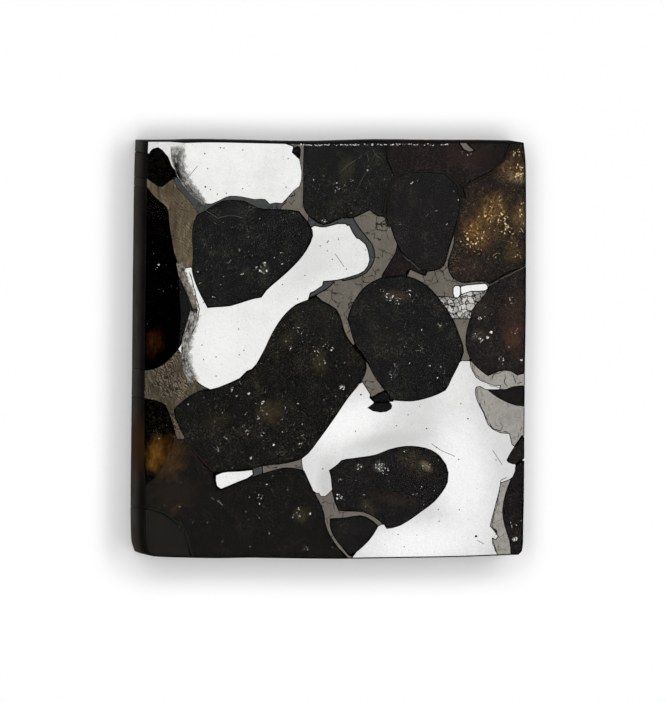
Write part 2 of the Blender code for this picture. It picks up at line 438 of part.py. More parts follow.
def make_grains():
    """Model every grain, trimmed to the slice and cut by the grains before it."""
    block = make_slice_block()
    earlier = []
    for name, finish, points in GRAINS:
        run = smooth_outline(points)
        crystal = name.startswith("olivine")
        body = grown(run, -SEAM) if crystal else run
        reach = run if crystal else grown(run, SEAM)
        grain = prism(name, body, -OVERSHOOT, THICKNESS + OVERSHOOT)
        grain.data.materials.append(make_finish(name, finish))
        add_boolean(grain, block, "INTERSECT")
        for cutter, box in earlier:
            if boxes_meet(box, box_of(run)):
                add_boolean(grain, cutter, "DIFFERENCE")
        cutter = prism("cut_" + name, reach, -2 * OVERSHOOT, THICKNESS + 2 * OVERSHOOT)
        hide_as_cutter(cutter)
        earlier.append((cutter, box_of(reach)))


clear_scene()
make_grains()
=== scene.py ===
"""Looks of a squared, polished pallasite slice.

Every grain of the slice is taken from the fixed frame, closed up against its neighbours, given a
fine edge and dressed: mirror-polished nickel-iron, taupe iron sulphide with hairline cracks, dark
rims, and see-through olivine with cloudy veils, glinting cleavage flakes and healed cracks sealed
inside it. The sawn sides and back are dull.
"""
import logging
import math
import random
from collections.abc import Callable, Sequence
from dataclasses import dataclass, field
from enum import Enum

import bmesh
import bpy
from mathutils import Euler, Matrix, Vector


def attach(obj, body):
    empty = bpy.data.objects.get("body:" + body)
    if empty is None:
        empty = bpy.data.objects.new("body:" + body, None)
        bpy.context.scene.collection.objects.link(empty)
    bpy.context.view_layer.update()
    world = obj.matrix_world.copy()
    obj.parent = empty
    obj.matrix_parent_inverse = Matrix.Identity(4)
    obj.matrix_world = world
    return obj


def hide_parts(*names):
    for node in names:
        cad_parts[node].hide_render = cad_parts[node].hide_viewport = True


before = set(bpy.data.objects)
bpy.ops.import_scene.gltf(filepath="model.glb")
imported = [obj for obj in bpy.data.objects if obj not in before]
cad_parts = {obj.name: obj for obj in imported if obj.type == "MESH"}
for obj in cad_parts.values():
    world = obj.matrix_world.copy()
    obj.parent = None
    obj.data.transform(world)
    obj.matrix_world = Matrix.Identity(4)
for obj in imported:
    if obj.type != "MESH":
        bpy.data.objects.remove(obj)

LOG = logging.getLogger("pallasite_slice")
MM = 0.001
FACE_HEIGHT = 4.0 * MM
SIDE_X = 14.6 * MM
SIDE_Y = 15.6 * MM
DARK_BELOW = 14.9 * MM
Point = tuple[float, float]
Colour = tuple[float, float, float]


class Side(Enum):
    """Which part of a grain a face belongs to, as its material index."""

    POLISHED = 0
    SAWN = 1


class Mineral(Enum):
    """What a grain is made of."""

    OLIVINE = "olivine"
    METAL = "metal"
    TROILITE = "troilite"
    MIXED = "mixed"
    RIM = "rim"
    CHROMITE = "chromite"


def rgba(colour: Colour) -> tuple[float, float, float, float]:
    """A colour with full alpha."""
    return (*colour, 1.0)


@dataclass(frozen=True)
class Glow:
    """A soft patch of another colour, in millimetres on the face and degrees."""

    x: float
    y: float
    width: float
    height: float
    turn: float
    colour: Colour
    strength: float = 1.0
    strand: float = 0.6
    ragged: float = 1.1


class Graph:
    """A node tree that is filled by short calls."""

    def __init__(self, tree: bpy.types.NodeTree) -> None:
        """Start on a node tree.

        Args:
            tree: The node tree of a material or of a group.
        """
        self.tree = tree

    def node(self, kind: str, values: dict[str, object] | None = None, **settings: object) -> bpy.types.Node:
        """Add a node.

        Args:
            kind: Node type without its ShaderNode prefix.
            values: Plain values or output sockets, by input name.
            settings: Properties of the node itself.

        Returns:
            The new node.
        """
        made = self.tree.nodes.new("ShaderNode" + kind)
        for name, setting in settings.items():
            setattr(made, name, setting)
        for name, value in (values or {}).items():
            self.feed(made.inputs[name], value)
        return made

    def feed(self, socket: bpy.types.NodeSocket, value: object) -> None:
        """Link an output into a socket, or set the socket to a plain value."""
        if isinstance(value, bpy.types.NodeSocket):
            self.tree.links.new(value, socket)
        else:
            socket.default_value = value

    def place(self) -> bpy.types.NodeSocket:
        """The point on the object, in metres."""
        return self.node("TexCoord").outputs["Object"]

    def maths(self, operation: str, first: object, second: object = 0.0, clamp: bool = False) -> bpy.types.NodeSocket:
        """Join two numbers.

        Args:
            operation: The name of the sum, such as MULTIPLY.
            first: First number or socket.
            second: Second number or socket.
            clamp: Whether the result stays between 0 and 1.

        Returns:
            The result's socket.
        """
        made = self.node("Math", operation=operation, use_clamp=clamp)
        self.feed(made.inputs[0], first)
        self.feed(made.inputs[1], second)
        return made.outputs[0]

    def step(self, value: object, low: float, high: float) -> bpy.types.NodeSocket:
        """Turn a number into a mask that rises smoothly from 0 at low to 1 at high."""
        made = self.node("MapRange", {"Value": value, "From Min": low, "From Max": high},
                         interpolation_type="SMOOTHSTEP")
        return made.outputs["Result"]

    def mix(self, share: object, first: object, second: object) -> bpy.types.NodeSocket:
        """Mix two colours."""
        made = self.node("Mix", data_type="RGBA")
        self.feed(made.inputs[0], share)
        self.feed(made.inputs[6], first)
        self.feed(made.inputs[7], second)
        return made.outputs[2]

    def noise(self, place: object, scale: object, detail: float = 3.0, rough: float = 0.55,
              twist: float = 0.0) -> bpy.types.NodeSocket:
        """Smooth noise between 0 and 1.

        Args:
            place: Point the noise is read at.
            scale: Waves per metre.
            detail: Number of finer layers.
            rough: Strength of the finer layers.
            twist: How far the noise bends itself.

        Returns:
            The noise's socket.
        """
        made = self.node("TexNoise", {"Vector": place, "Scale": scale, "Detail": detail,
                                      "Roughness": rough, "Distortion": twist})
        return made.outputs[0]

    def blob(self, place: object, spot: "Glow") -> bpy.types.NodeSocket:
        """A soft, fibrous patch around one spot of the face.

        Args:
            place: The point on the object.
            spot: Where the patch lies, how wide and how fibrous it is.

        Returns:
            Its mask, 0 to 1.
        """
        away = self.node("VectorMath", operation="SUBTRACT")
        self.feed(away.inputs[0], place)
        away.inputs[1].default_value = (spot.x * MM, spot.y * MM, FACE_HEIGHT)
        turned = self.node("VectorRotate", {"Vector": away.outputs[0], "Angle": -math.radians(spot.turn)},
                           rotation_type="Z_AXIS")
        sized = self.node("VectorMath", operation="MULTIPLY")
        self.feed(sized.inputs[0], turned.outputs[0])
        sized.inputs[1].default_value = (2.0 / (spot.width * MM), 2.0 / (spot.height * MM), 0.0)
        reach = self.node("VectorMath", operation="LENGTH")
        self.feed(reach.inputs[0], sized.outputs[0])
        rough = self.maths("MULTIPLY", self.maths("SUBTRACT", self.noise(place, 1300.0, 3.0, 0.6), 0.5), spot.ragged)
        body = self.step(self.maths("ADD", reach.outputs["Value"], rough), 1.1, 0.2)
        drawn = self.node("VectorMath", operation="MULTIPLY")
        self.feed(drawn.inputs[0], turned.outputs[0])
        drawn.inputs[1].default_value = (0.30, 1.0, 1.0)
        strands = self.step(self.noise(drawn.outputs[0], 6800.0, 5.0, 0.78, 0.15), 0.45, 0.58)
        kept = self.maths("ADD", self.maths("MULTIPLY", strands, spot.strand), 1.0 - spot.strand)
        return self.maths("MULTIPLY", self.maths("MULTIPLY", body, kept), spot.strength)


def new_group(name: str, inputs: dict[str, float | Colour], outputs: dict[str, str]) -> tuple[
        bpy.types.NodeTree, bpy.types.Node, bpy.types.Node]:
    """Make an empty node group with its sockets.

    Args:
        name: The group's name.
        inputs: Default of each input, a number or a colour.
        outputs: Socket type of each output.

    Returns:
        The group, its input node and its output node.
    """
    group = bpy.data.node_groups.new(name, "ShaderNodeTree")
    for label, value in inputs.items():
        kind = "NodeSocketFloat" if isinstance(value, float) else "NodeSocketColor"
        socket = group.interface.new_socket(label, in_out="INPUT", socket_type=kind)
        socket.default_value = value if isinstance(value, float) else rgba(value)
    for label, kind in outputs.items():
        group.interface.new_socket(label, in_out="OUTPUT", socket_type=kind)
    return group, group.nodes.new("NodeGroupInput"), group.nodes.new("NodeGroupOutput")


class Effects:
    """The shader groups that several finishes share."""

    def __init__(self) -> None:
        """Build every group once."""
        self.haze = self.build_haze()
        self.cracks = self.build_cracks()
        self.saw = self.build_saw()
        self.mottle = self.build_mottle()
        self.dots = self.build_dots()
        self.worms = self.build_worms()

    def build_haze(self) -> bpy.types.NodeTree:
        """Cloudy polishing haze with a fine grain.

        Returns:
            The group, with input Scale and outputs Haze, Grain and Height.
        """
        group, source, sink = new_group("polishing haze", {"Scale": 250.0}, {
            "Haze": "NodeSocketFloat", "Grain": "NodeSocketFloat", "Height": "NodeSocketFloat"})
        graph = Graph(group)
        place = graph.place()
        scale = source.outputs["Scale"]
        clouds = graph.noise(place, scale, 4.0, 0.6, 0.3)
        fine = graph.noise(place, graph.maths("MULTIPLY", scale, 9.0), 2.0, 0.7)
        grain = graph.noise(place, 5200.0, 2.0, 0.6)
        blend = graph.maths("ADD", graph.maths("MULTIPLY", clouds, 0.7), graph.maths("MULTIPLY", fine, 0.3))
        graph.feed(sink.inputs["Haze"], graph.step(blend, 0.4, 0.66))
        graph.feed(sink.inputs["Grain"], graph.step(grain, 0.35, 0.68))
        graph.feed(sink.inputs["Height"], blend)
        return group

    def build_cracks(self) -> bpy.types.NodeTree:
        """Hairline cracks between plates of uneven size.

        Returns:
            The group, with inputs Scale, Width, Wander and Broken and outputs Crack and Plate.
        """
        group, source, sink = new_group(
            "hairline cracks", {"Scale": 900.0, "Width": 0.03, "Wander": 0.0006, "Broken": 1.0},
            {"Crack": "NodeSocketFloat", "Plate": "NodeSocketFloat"})
        graph = Graph(group)
        place = graph.place()
        bend = graph.node("TexNoise", {"Vector": place, "Scale": 1500.0, "Detail": 4.0, "Roughness": 0.65})
        shift = graph.node("VectorMath", operation="MULTIPLY_ADD")
        graph.feed(shift.inputs[0], bend.outputs["Color"])
        drift = graph.node("CombineXYZ", {axis: source.outputs["Wander"] for axis in "XYZ"})
        graph.feed(shift.inputs[1], drift.outputs[0])
        graph.feed(shift.inputs[2], place)
        cells = graph.node("TexVoronoi", {"Vector": shift.outputs[0], "Scale": source.outputs["Scale"]},
                           feature="DISTANCE_TO_EDGE")
        tone = graph.node("TexVoronoi", {"Vector": shift.outputs[0], "Scale": source.outputs["Scale"]})
        near = graph.maths("DIVIDE", cells.outputs["Distance"], source.outputs["Width"])
        gaps = graph.step(graph.noise(place, 1100.0, 3.0, 0.6), 0.46, 0.53)
        whole = graph.maths("SUBTRACT", 1.0, source.outputs["Broken"])
        line = graph.maths("SUBTRACT", 1.0, graph.step(near, 0.35, 1.0))
        graph.feed(sink.inputs["Crack"], graph.maths("MULTIPLY", line, graph.maths("MAXIMUM", gaps, whole)))
        graph.feed(sink.inputs["Plate"], graph.node("SeparateColor", {"Color": tone.outputs["Color"]}).outputs[0])
        return group

    def build_saw(self) -> bpy.types.NodeTree:
        """Straight saw lines with rubbed patches.

        Returns:
            The group, with input Lines and outputs Height and Patches.
        """
        group, source, sink = new_group("saw marks", {"Lines": 2600.0}, {
            "Height": "NodeSocketFloat", "Patches": "NodeSocketFloat"})
        graph = Graph(group)
        place = graph.place()
        turned = graph.node("Mapping", {"Vector": place, "Rotation": (0.0, 0.0, 0.35), "Scale": (1.0, 0.02, 0.05)})
        lines = graph.noise(turned.outputs[0], source.outputs["Lines"], 2.0, 0.6)
        patches = graph.noise(place, 330.0, 4.0, 0.6)
        graph.feed(sink.inputs["Height"], lines)
        graph.feed(sink.inputs["Patches"], graph.step(patches, 0.35, 0.68))
        return group

    def build_mottle(self) -> bpy.types.NodeTree:
        """The grainy inside of cloudy crystal.

        Returns:
            The group, with input Scale and outputs Tone, Flecks and Patch.
        """
        group, source, sink = new_group("cloudy mottle", {"Scale": 1.0}, {
            "Tone": "NodeSocketFloat", "Flecks": "NodeSocketFloat", "Patch": "NodeSocketFloat"})
        graph = Graph(group)
        place = graph.place()
        scale = source.outputs["Scale"]
        grain = graph.noise(place, graph.maths("MULTIPLY", scale, 3200.0), 5.0, 0.78, 0.2)
        fine = graph.noise(place, graph.maths("MULTIPLY", scale, 7500.0), 3.0, 0.75)
        crowd = graph.noise(place, graph.maths("MULTIPLY", scale, 700.0), 3.0, 0.6)
        patch = graph.noise(place, graph.maths("MULTIPLY", scale, 330.0), 4.0, 0.6, 0.4)
        graph.feed(sink.inputs["Tone"], graph.step(grain, 0.44, 0.70))
        bright = graph.maths("ADD", fine, graph.maths("MULTIPLY", crowd, 0.45))
        graph.feed(sink.inputs["Flecks"], graph.step(bright, 0.78, 0.92))
        graph.feed(sink.inputs["Patch"], graph.step(patch, 0.40, 0.66))
        return group

    def build_dots(self) -> bpy.types.NodeTree:
        """Tiny round pits scattered over the face.

        Returns:
            The group, with inputs Scale, Size and Share and output Dots.
        """
        group, source, sink = new_group("tiny pits", {"Scale": 650.0, "Size": 0.05, "Share": 0.5}, {
            "Dots": "NodeSocketFloat"})
        graph = Graph(group)
        cells = graph.node("TexVoronoi", {"Vector": graph.place(), "Scale": source.outputs["Scale"]},
                           voronoi_dimensions="2D")
        near = graph.maths("DIVIDE", cells.outputs["Distance"], source.outputs["Size"])
        chosen = graph.maths("LESS_THAN", graph.node(
            "SeparateColor", {"Color": cells.outputs["Color"]}).outputs[0], source.outputs["Share"])
        graph.feed(sink.inputs["Dots"], graph.maths("MULTIPLY", graph.step(near, 1.0, 0.45), chosen))
        return group

    def build_worms(self) -> bpy.types.NodeTree:
        """Fine winding ridges side by side.

        Returns:
            The group, with inputs Scale, Winding and Turn and outputs Groove and Ridge.
        """
        group, source, sink = new_group("winding ridges", {"Scale": 1200.0, "Winding": 5.0, "Turn": 0.0}, {
            "Groove": "NodeSocketFloat", "Ridge": "NodeSocketFloat"})
        graph = Graph(group)
        place = graph.place()
        turned = graph.node("VectorRotate", {"Vector": place, "Angle": source.outputs["Turn"]},
                            rotation_type="Z_AXIS")
        wave = graph.node("TexWave", {
            "Vector": turned.outputs[0], "Scale": source.outputs["Scale"], "Distortion": source.outputs["Winding"],
            "Detail": 3.0, "Detail Scale": 1.3, "Detail Roughness": 0.65})
        fade = graph.step(graph.noise(place, 900.0, 3.0, 0.6), 0.38, 0.58)
        level = wave.outputs["Fac"]
        graph.feed(sink.inputs["Groove"], graph.maths("MULTIPLY", graph.step(level, 0.38, 0.08), fade))
        graph.feed(sink.inputs["Ridge"], graph.maths("MULTIPLY", graph.step(level, 0.62, 0.95), fade))
        return group


def start_material(name: str) -> tuple[bpy.types.Material, Graph, bpy.types.Node]:
    """Make an empty material.

    Args:
        name: The material's name.

    Returns:
        The material, its graph and its Principled shader.
    """
    material = bpy.data.materials.new(name)
    material.use_nodes = True
    return material, Graph(material.node_tree), material.node_tree.nodes["Principled BSDF"]


def place_group(graph: Graph, group: bpy.types.NodeTree, values: dict[str, object] | None = None) -> bpy.types.Node:
    """Put a shared group into a material."""
    made = graph.node("Group", node_tree=group)
    for name, value in (values or {}).items():
        graph.feed(made.inputs[name], value)
    return made


@dataclass(frozen=True)
class MetalPolish:
    """Mirror-polished nickel-iron with faint smudges, painted reflection and tiny pits."""

    name: str
    bright: Colour
    smudge_and_dim_reflection: Colour
    pits: float = 0.4
    sheens: Sequence[Glow] = ()
    roughness: float = 0.09

    def build(self, effects: Effects) -> bpy.types.Material:
        """Make the material."""
        material, graph, shader = start_material(self.name)
        haze = place_group(graph, effects.haze, {"Scale": 110.0})
        # The smudge clouds are part smudge and part painted dim reflection.
        colour = graph.mix(graph.maths("MULTIPLY", haze.outputs["Haze"], 0.7), rgba(self.bright), rgba(self.smudge_and_dim_reflection))
        place = graph.place()
        # Painted reflection: each sheen paints a lighter or a darker patch of reflection into the colour.
        for sheen in self.sheens:
            colour = graph.mix(graph.blob(place, sheen), colour, rgba(sheen.colour))
        grained = graph.mix(graph.maths("MULTIPLY", haze.outputs["Grain"], 0.07), colour, rgba((0.30, 0.30, 0.29)))
        wide = place_group(graph, effects.dots, {"Scale": 620.0, "Size": 0.042, "Share": self.pits})
        small = place_group(graph, effects.dots, {"Scale": 1500.0, "Size": 0.055, "Share": self.pits * 0.7})
        pits = graph.maths("MAXIMUM", wide.outputs[0], graph.maths("MULTIPLY", small.outputs[0], 0.45))
        graph.feed(shader.inputs["Base Color"], graph.mix(pits, grained, rgba((0.10, 0.10, 0.095))))
        rough = graph.maths("MULTIPLY_ADD", haze.outputs["Haze"], 0.07)
        rough.node.inputs[2].default_value = self.roughness
        graph.feed(shader.inputs["Roughness"], rough)
        shader.inputs["Metallic"].default_value = 1.0
        sunk = graph.maths("SUBTRACT", haze.outputs["Height"], pits)
        bump = graph.node("Bump", {"Height": sunk, "Strength": 0.35, "Distance": 0.00002})
        graph.feed(shader.inputs["Normal"], bump.outputs[0])
        return material


@dataclass(frozen=True)
class SulphidePolish:
    """Polished iron sulphide: a dull metallic taupe with fibres and hairline cracks."""

    name: str
    base: Colour
    shade: Colour
    gleam: Colour
    crack: Colour = (0.012, 0.011, 0.009)
    crack_scale: float = 1500.0
    crack_width: float = 0.08
    broken: float = 1.0
    fibre: float = 0.4
    fibre_scale: float = 2600.0
    fibre_turn: float = 0.0
    fibre_stretch: float = 0.35
    plates: float = 0.2
    worms: float = 0.0
    worm_scale: float = 1300.0
    winding: float = 5.0
    worm_turn: float = 0.0
    roughness: float = 0.24
    metallic: float = 0.9

    def build(self, effects: Effects) -> bpy.types.Material:
        """Make the material."""
        material, graph, shader = start_material(self.name)
        haze = place_group(graph, effects.haze, {"Scale": 420.0})
        cracks = place_group(graph, effects.cracks, {
            "Scale": self.crack_scale, "Width": self.crack_width, "Broken": self.broken})
        turned = graph.node("Mapping", {
            "Vector": graph.place(), "Rotation": (0.0, 0.0, math.radians(self.fibre_turn)),
            "Scale": (1.0, self.fibre_stretch, 1.0)})
        wave = graph.noise(turned.outputs[0], self.fibre_scale, 4.0, 0.62, 0.7)
        low = graph.maths("MULTIPLY", graph.step(wave, 0.50, 0.34), self.fibre)
        high = graph.maths("MULTIPLY", graph.step(wave, 0.52, 0.68), self.fibre)
        colour = graph.mix(graph.maths("MULTIPLY", haze.outputs["Haze"], 0.3), rgba(self.base), rgba(self.shade))
        plated = graph.mix(graph.maths("MULTIPLY", cracks.outputs["Plate"], self.plates), colour, rgba(self.shade))
        fibred = graph.mix(high, graph.mix(low, plated, rgba(self.shade)), rgba(self.gleam))
        if self.worms > 0:
            worms = place_group(graph, effects.worms, {
                "Scale": self.worm_scale, "Winding": self.winding, "Turn": math.radians(self.worm_turn)})
            fibred = graph.mix(graph.maths("MULTIPLY", worms.outputs["Groove"], self.worms), fibred, rgba(self.shade))
            fibred = graph.mix(graph.maths("MULTIPLY", worms.outputs["Ridge"], self.worms), fibred, rgba(self.gleam))
        graph.feed(shader.inputs["Base Color"], graph.mix(cracks.outputs["Crack"], fibred, rgba(self.crack)))
        rough = graph.maths("MULTIPLY_ADD", haze.outputs["Haze"], 0.12)
        rough.node.inputs[2].default_value = self.roughness
        graph.feed(shader.inputs["Roughness"], rough)
        shader.inputs["Metallic"].default_value = self.metallic
        sunk = graph.maths("SUBTRACT", graph.maths("ADD", haze.outputs["Height"], wave), cracks.outputs["Crack"])
        bump = graph.node("Bump", {"Height": sunk, "Strength": 0.5, "Distance": 0.00003})
        graph.feed(shader.inputs["Normal"], bump.outputs[0])
        return material


@dataclass(frozen=True)
class CrystalGlass:
    """Polished see-through olivine that swallows light with depth."""

    name: str
    tint: Colour
    density: float
    surface: float = 0.04

    def build(self, effects: Effects) -> bpy.types.Material:
        """Make the material."""
        material, graph, shader = start_material(self.name)
        haze = place_group(graph, effects.haze, {"Scale": 500.0})
        graph.feed(shader.inputs["Base Color"],
                   graph.mix(haze.outputs["Haze"], rgba((1.0, 1.0, 1.0)), rgba((0.86, 0.87, 0.84))))
        rough = graph.maths("MULTIPLY_ADD", haze.outputs["Haze"], 0.015)
        rough.node.inputs[2].default_value = 0.012
        graph.feed(shader.inputs["Roughness"], rough)
        shader.inputs["Transmission Weight"].default_value = 1.0
        shader.inputs["IOR"].default_value = 1.67
        # The polished face's own reflection is turned down to this share; the veil's painted reflection stands in for
        # the rest.
        shader.inputs["Specular Tint"].default_value = rgba((self.surface,) * 3)
        body = graph.node("VolumeAbsorption")
        body.inputs["Color"].default_value = rgba(self.tint)
        body.inputs["Density"].default_value = self.density
        output = material.node_tree.nodes["Material Output"]
        graph.feed(output.inputs["Volume"], body.outputs[0])
        return material


@dataclass(frozen=True)
class VeilFinish:
    """Cloudy inside of a crystal: dark grain, pale flecks, glowing patches, and a painted reflection under the level
    face.
    """

    name: str
    dark: Colour
    base: Colour
    patch: Colour
    fleck: Colour
    glows: Sequence[Glow] = ()
    flecks: float = 0.8
    scale: float = 1.0
    painted_reflection: Colour = (0.027, 0.027, 0.032)

    def build(self, effects: Effects) -> bpy.types.Material:
        """Make the material."""
        material, graph, shader = start_material(self.name)
        mottle = place_group(graph, effects.mottle, {"Scale": self.scale})
        lit = graph.mix(mottle.outputs["Patch"], rgba(self.base), rgba(self.patch))
        colour = graph.mix(mottle.outputs["Tone"], rgba(self.dark), lit)
        place = graph.place()
        for glow in self.glows:
            colour = graph.mix(graph.blob(place, glow), colour, rgba(glow.colour))
        flecks = graph.maths("MULTIPLY", mottle.outputs["Flecks"], self.flecks)
        # Painted reflection: an even brightening added under the level face, in place of the reflection that the
        # glass turns down.
        painted_reflection = graph.node("Mix", data_type="RGBA", blend_type="ADD")
        graph.feed(painted_reflection.inputs[0], graph.node("Attribute", attribute_name="level").outputs["Fac"])
        graph.feed(painted_reflection.inputs[6], graph.mix(flecks, colour, rgba(self.fleck)))
        painted_reflection.inputs[7].default_value = rgba(self.painted_reflection)
        graph.feed(shader.inputs["Base Color"], painted_reflection.outputs[2])
        shader.inputs["Roughness"].default_value = 0.6
        shader.inputs["Specular IOR Level"].default_value = 0.0
        return material


@dataclass(frozen=True)
class FlakeFinish:
    """Glinting cleavage flake."""

    name: str
    colour: Colour
    shade: Colour

    def build(self, effects: Effects) -> bpy.types.Material:
        """Make the material."""
        material, graph, shader = start_material(self.name)
        haze = place_group(graph, effects.haze, {"Scale": 1500.0})
        graph.feed(shader.inputs["Base Color"], graph.mix(haze.outputs["Haze"], rgba(self.colour), rgba(self.shade)))
        shader.inputs["Metallic"].default_value = 1.0
        shader.inputs["Roughness"].default_value = 0.22
        return material


@dataclass(frozen=True)
class ScuffFinish:
    """Streaky burr along a metal grain's rim, ragged at its sides, partly painted shade of the rim's dark reflection.
    """

    name: str
    dark: Colour
    pale: Colour
    streaks: float = 0.5
    cover: float = 1.0

    def build(self, effects: Effects) -> bpy.types.Material:
        """Make the material."""
        material, graph, shader = start_material(self.name)
        spot = graph.node("SeparateXYZ", {"Vector": graph.node("TexCoord").outputs["UV"]})
        along = spot.outputs["X"]
        across = spot.outputs["Y"]
        drawn = graph.node("Mapping", {"Vector": graph.node("TexCoord").outputs["UV"], "Scale": (7.0, 9.0, 1.0)})
        wave = graph.noise(drawn.outputs[0], 1.0, 5.0, 0.68, 1.0)
        chips = graph.noise(graph.place(), 3000.0, 3.0, 0.65)
        blend = graph.maths("ADD", graph.maths("MULTIPLY", wave, 0.6), graph.maths("MULTIPLY", chips, 0.4))
        graph.feed(shader.inputs["Base Color"],
                   graph.mix(graph.step(blend, self.streaks - 0.08, self.streaks + 0.08),
                             rgba(self.dark), rgba(self.pale)))
        ragged = graph.maths("ADD", across, graph.maths("MULTIPLY", graph.maths("SUBTRACT", chips, 0.5), 1.1))
        sides = graph.step(ragged, 0.05, 0.60)
        ends = graph.maths("MULTIPLY", graph.step(along, 0.0, 0.08), graph.step(along, 1.0, 0.90))
        graph.feed(shader.inputs["Alpha"], graph.maths("MULTIPLY", graph.maths("MULTIPLY", sides, ends), self.cover))
        shader.inputs["Metallic"].default_value = 0.9
        shader.inputs["Roughness"].default_value = 0.35
        return material


@dataclass(frozen=True)
class SawnFinish:
    """Dull sawn side and back of a grain, with painted shade that darkens it towards the polished face."""

    name: str
    colour: Colour
    rubbed: Colour
    stains: Sequence[Glow] = ()
    metallic: float = 0.0
    roughness: float = 0.6

    def build(self, effects: Effects) -> bpy.types.Material:
        """Make the material."""
        material, graph, shader = start_material(self.name)
        saw = place_group(graph, effects.saw)
        patched = graph.mix(saw.outputs["Patches"], rgba(self.colour), rgba(self.rubbed))
        # Painted shade: the colour darkens with height towards the polished face, where less floor light reaches the
        # wall.
        height = graph.node("SeparateXYZ", {"Vector": graph.place()}).outputs["Z"]
        shade = graph.maths("MULTIPLY", graph.step(height, 0.0, 3.2 * MM), 0.92)
        colour = graph.mix(shade, patched, rgba((0.003, 0.003, 0.003)))
        for stain in self.stains:
            colour = graph.mix(graph.blob(graph.place(), stain), colour, rgba(stain.colour))
        graph.feed(shader.inputs["Base Color"], colour)
        shader.inputs["Metallic"].default_value = self.metallic
        shader.inputs["Roughness"].default_value = self.roughness
        shader.inputs["Specular IOR Level"].default_value = 0.0
        bump = graph.node("Bump", {"Height": saw.outputs["Height"], "Strength": 0.5, "Distance": 0.00004})
        graph.feed(shader.inputs["Normal"], bump.outputs[0])
        return material


class Palette:
    """Every finish of the slice, built once."""

    def __init__(self, effects: Effects) -> None:
        """Build the materials.

        Args:
            effects: The shared shader groups.
        """
        self.materials = {}
        for finish in METALS + SULPHIDES + GLASSES + VEILS + TRIMS:
            material = finish.build(effects)
            self.materials[material.name] = material

    def __getitem__(self, name: str) -> bpy.types.Material:
        """A finish by name."""
        return self.materials[name]


# Painted reflection: the three metals are one nickel-iron painted at three brightnesses.
METALS = (
    MetalPolish("bright nickel-iron", (0.90, 0.90, 0.89), (0.80, 0.80, 0.785), 0.55),
    MetalPolish("banded nickel-iron", (0.86, 0.86, 0.85), (0.76, 0.76, 0.75), 0.5, (
        Glow(-2.4, 6.6, 7.0, 4.0, 50.0, (0.72, 0.72, 0.71), 0.75, 0.0, 0.3),
        Glow(-9.6, 0.4, 5.0, 6.0, 0.0, (0.93, 0.93, 0.92), 0.6, 0.0, 0.3))),
    MetalPolish("wide nickel-iron", (0.74, 0.74, 0.735), (0.68, 0.68, 0.675), 0.22, (
        Glow(1.0, -5.6, 9.0, 4.6, 22.0, (0.96, 0.96, 0.955), 0.95, 0.0, 0.3),
        Glow(10.2, -9.6, 6.4, 14.0, 8.0, (0.94, 0.945, 0.945), 0.95, 0.0, 0.3),
        Glow(7.0, -14.8, 12.0, 4.6, 6.0, (0.95, 0.955, 0.95), 0.95, 0.0, 0.3),
        Glow(9.3, -2.6, 4.6, 4.6, 0.0, (0.84, 0.84, 0.83), 0.7, 0.0, 0.3),
        Glow(4.6, -6.9, 8.0, 1.8, 8.0, (0.62, 0.62, 0.615), 0.85, 0.0, 0.3),
        Glow(-0.6, -10.2, 2.0, 4.6, 0.0, (0.58, 0.58, 0.57), 0.8, 0.0, 0.3))),
)
SULPHIDES = (
    SulphidePolish("grey sulphide", (0.168, 0.150, 0.123), (0.095, 0.085, 0.070), (0.215, 0.198, 0.168),
                   crack_scale=1250.0, crack_width=0.045, fibre=0.4, worms=0.15, worm_scale=1700.0, winding=12.0, worm_turn=-50.0),
    SulphidePolish("plain sulphide", (0.170, 0.152, 0.128), (0.120, 0.108, 0.092), (0.200, 0.185, 0.160),
                   crack_scale=700.0, crack_width=0.02, fibre=0.3),
    SulphidePolish("rusty sulphide", (0.112, 0.088, 0.054), (0.050, 0.038, 0.022), (0.230, 0.190, 0.125),
                   crack_scale=700.0, crack_width=0.012, fibre=0.85, fibre_turn=20.0, fibre_stretch=0.22,
                   worms=0.4, worm_scale=1700.0, winding=9.0, worm_turn=-50.0),
    SulphidePolish("wormy sulphide", (0.090, 0.072, 0.048), (0.020, 0.016, 0.011), (0.235, 0.195, 0.140),
                   crack_scale=1100.0, crack_width=0.03, fibre=0.5, fibre_turn=-25.0, fibre_stretch=0.30,
                   fibre_scale=2300.0, worms=0.95, worm_scale=1350.0, winding=16.0, worm_turn=-35.0),
    SulphidePolish("pale sulphide", (0.370, 0.355, 0.322), (0.230, 0.220, 0.195), (0.440, 0.425, 0.395),
                   crack_scale=800.0, crack_width=0.012, fibre=0.5, fibre_stretch=0.7),
    SulphidePolish("granular intergrowth", (0.66, 0.65, 0.62), (0.12, 0.11, 0.095), (0.74, 0.73, 0.70),
                   crack_scale=2500.0, crack_width=0.11, crack=(0.012, 0.011, 0.01), broken=0.0, plates=0.75,
                   fibre=0.5, fibre_stretch=0.8),
    SulphidePolish("grey rim", (0.066, 0.068, 0.070), (0.045, 0.046, 0.047), (0.080, 0.083, 0.086),
                   crack_scale=1600.0, crack_width=0.03, fibre=0.4),
    SulphidePolish("black oxide", (0.010, 0.010, 0.010), (0.006, 0.006, 0.006), (0.016, 0.016, 0.016),
                   metallic=1.0, roughness=0.2),
)
GLASSES = (
    CrystalGlass("dark olivine", (0.60, 0.57, 0.30), 900.0),
    CrystalGlass("red-brown olivine", (0.72, 0.50, 0.32), 800.0),
    CrystalGlass("amber olivine", (0.80, 0.62, 0.36), 700.0),
)
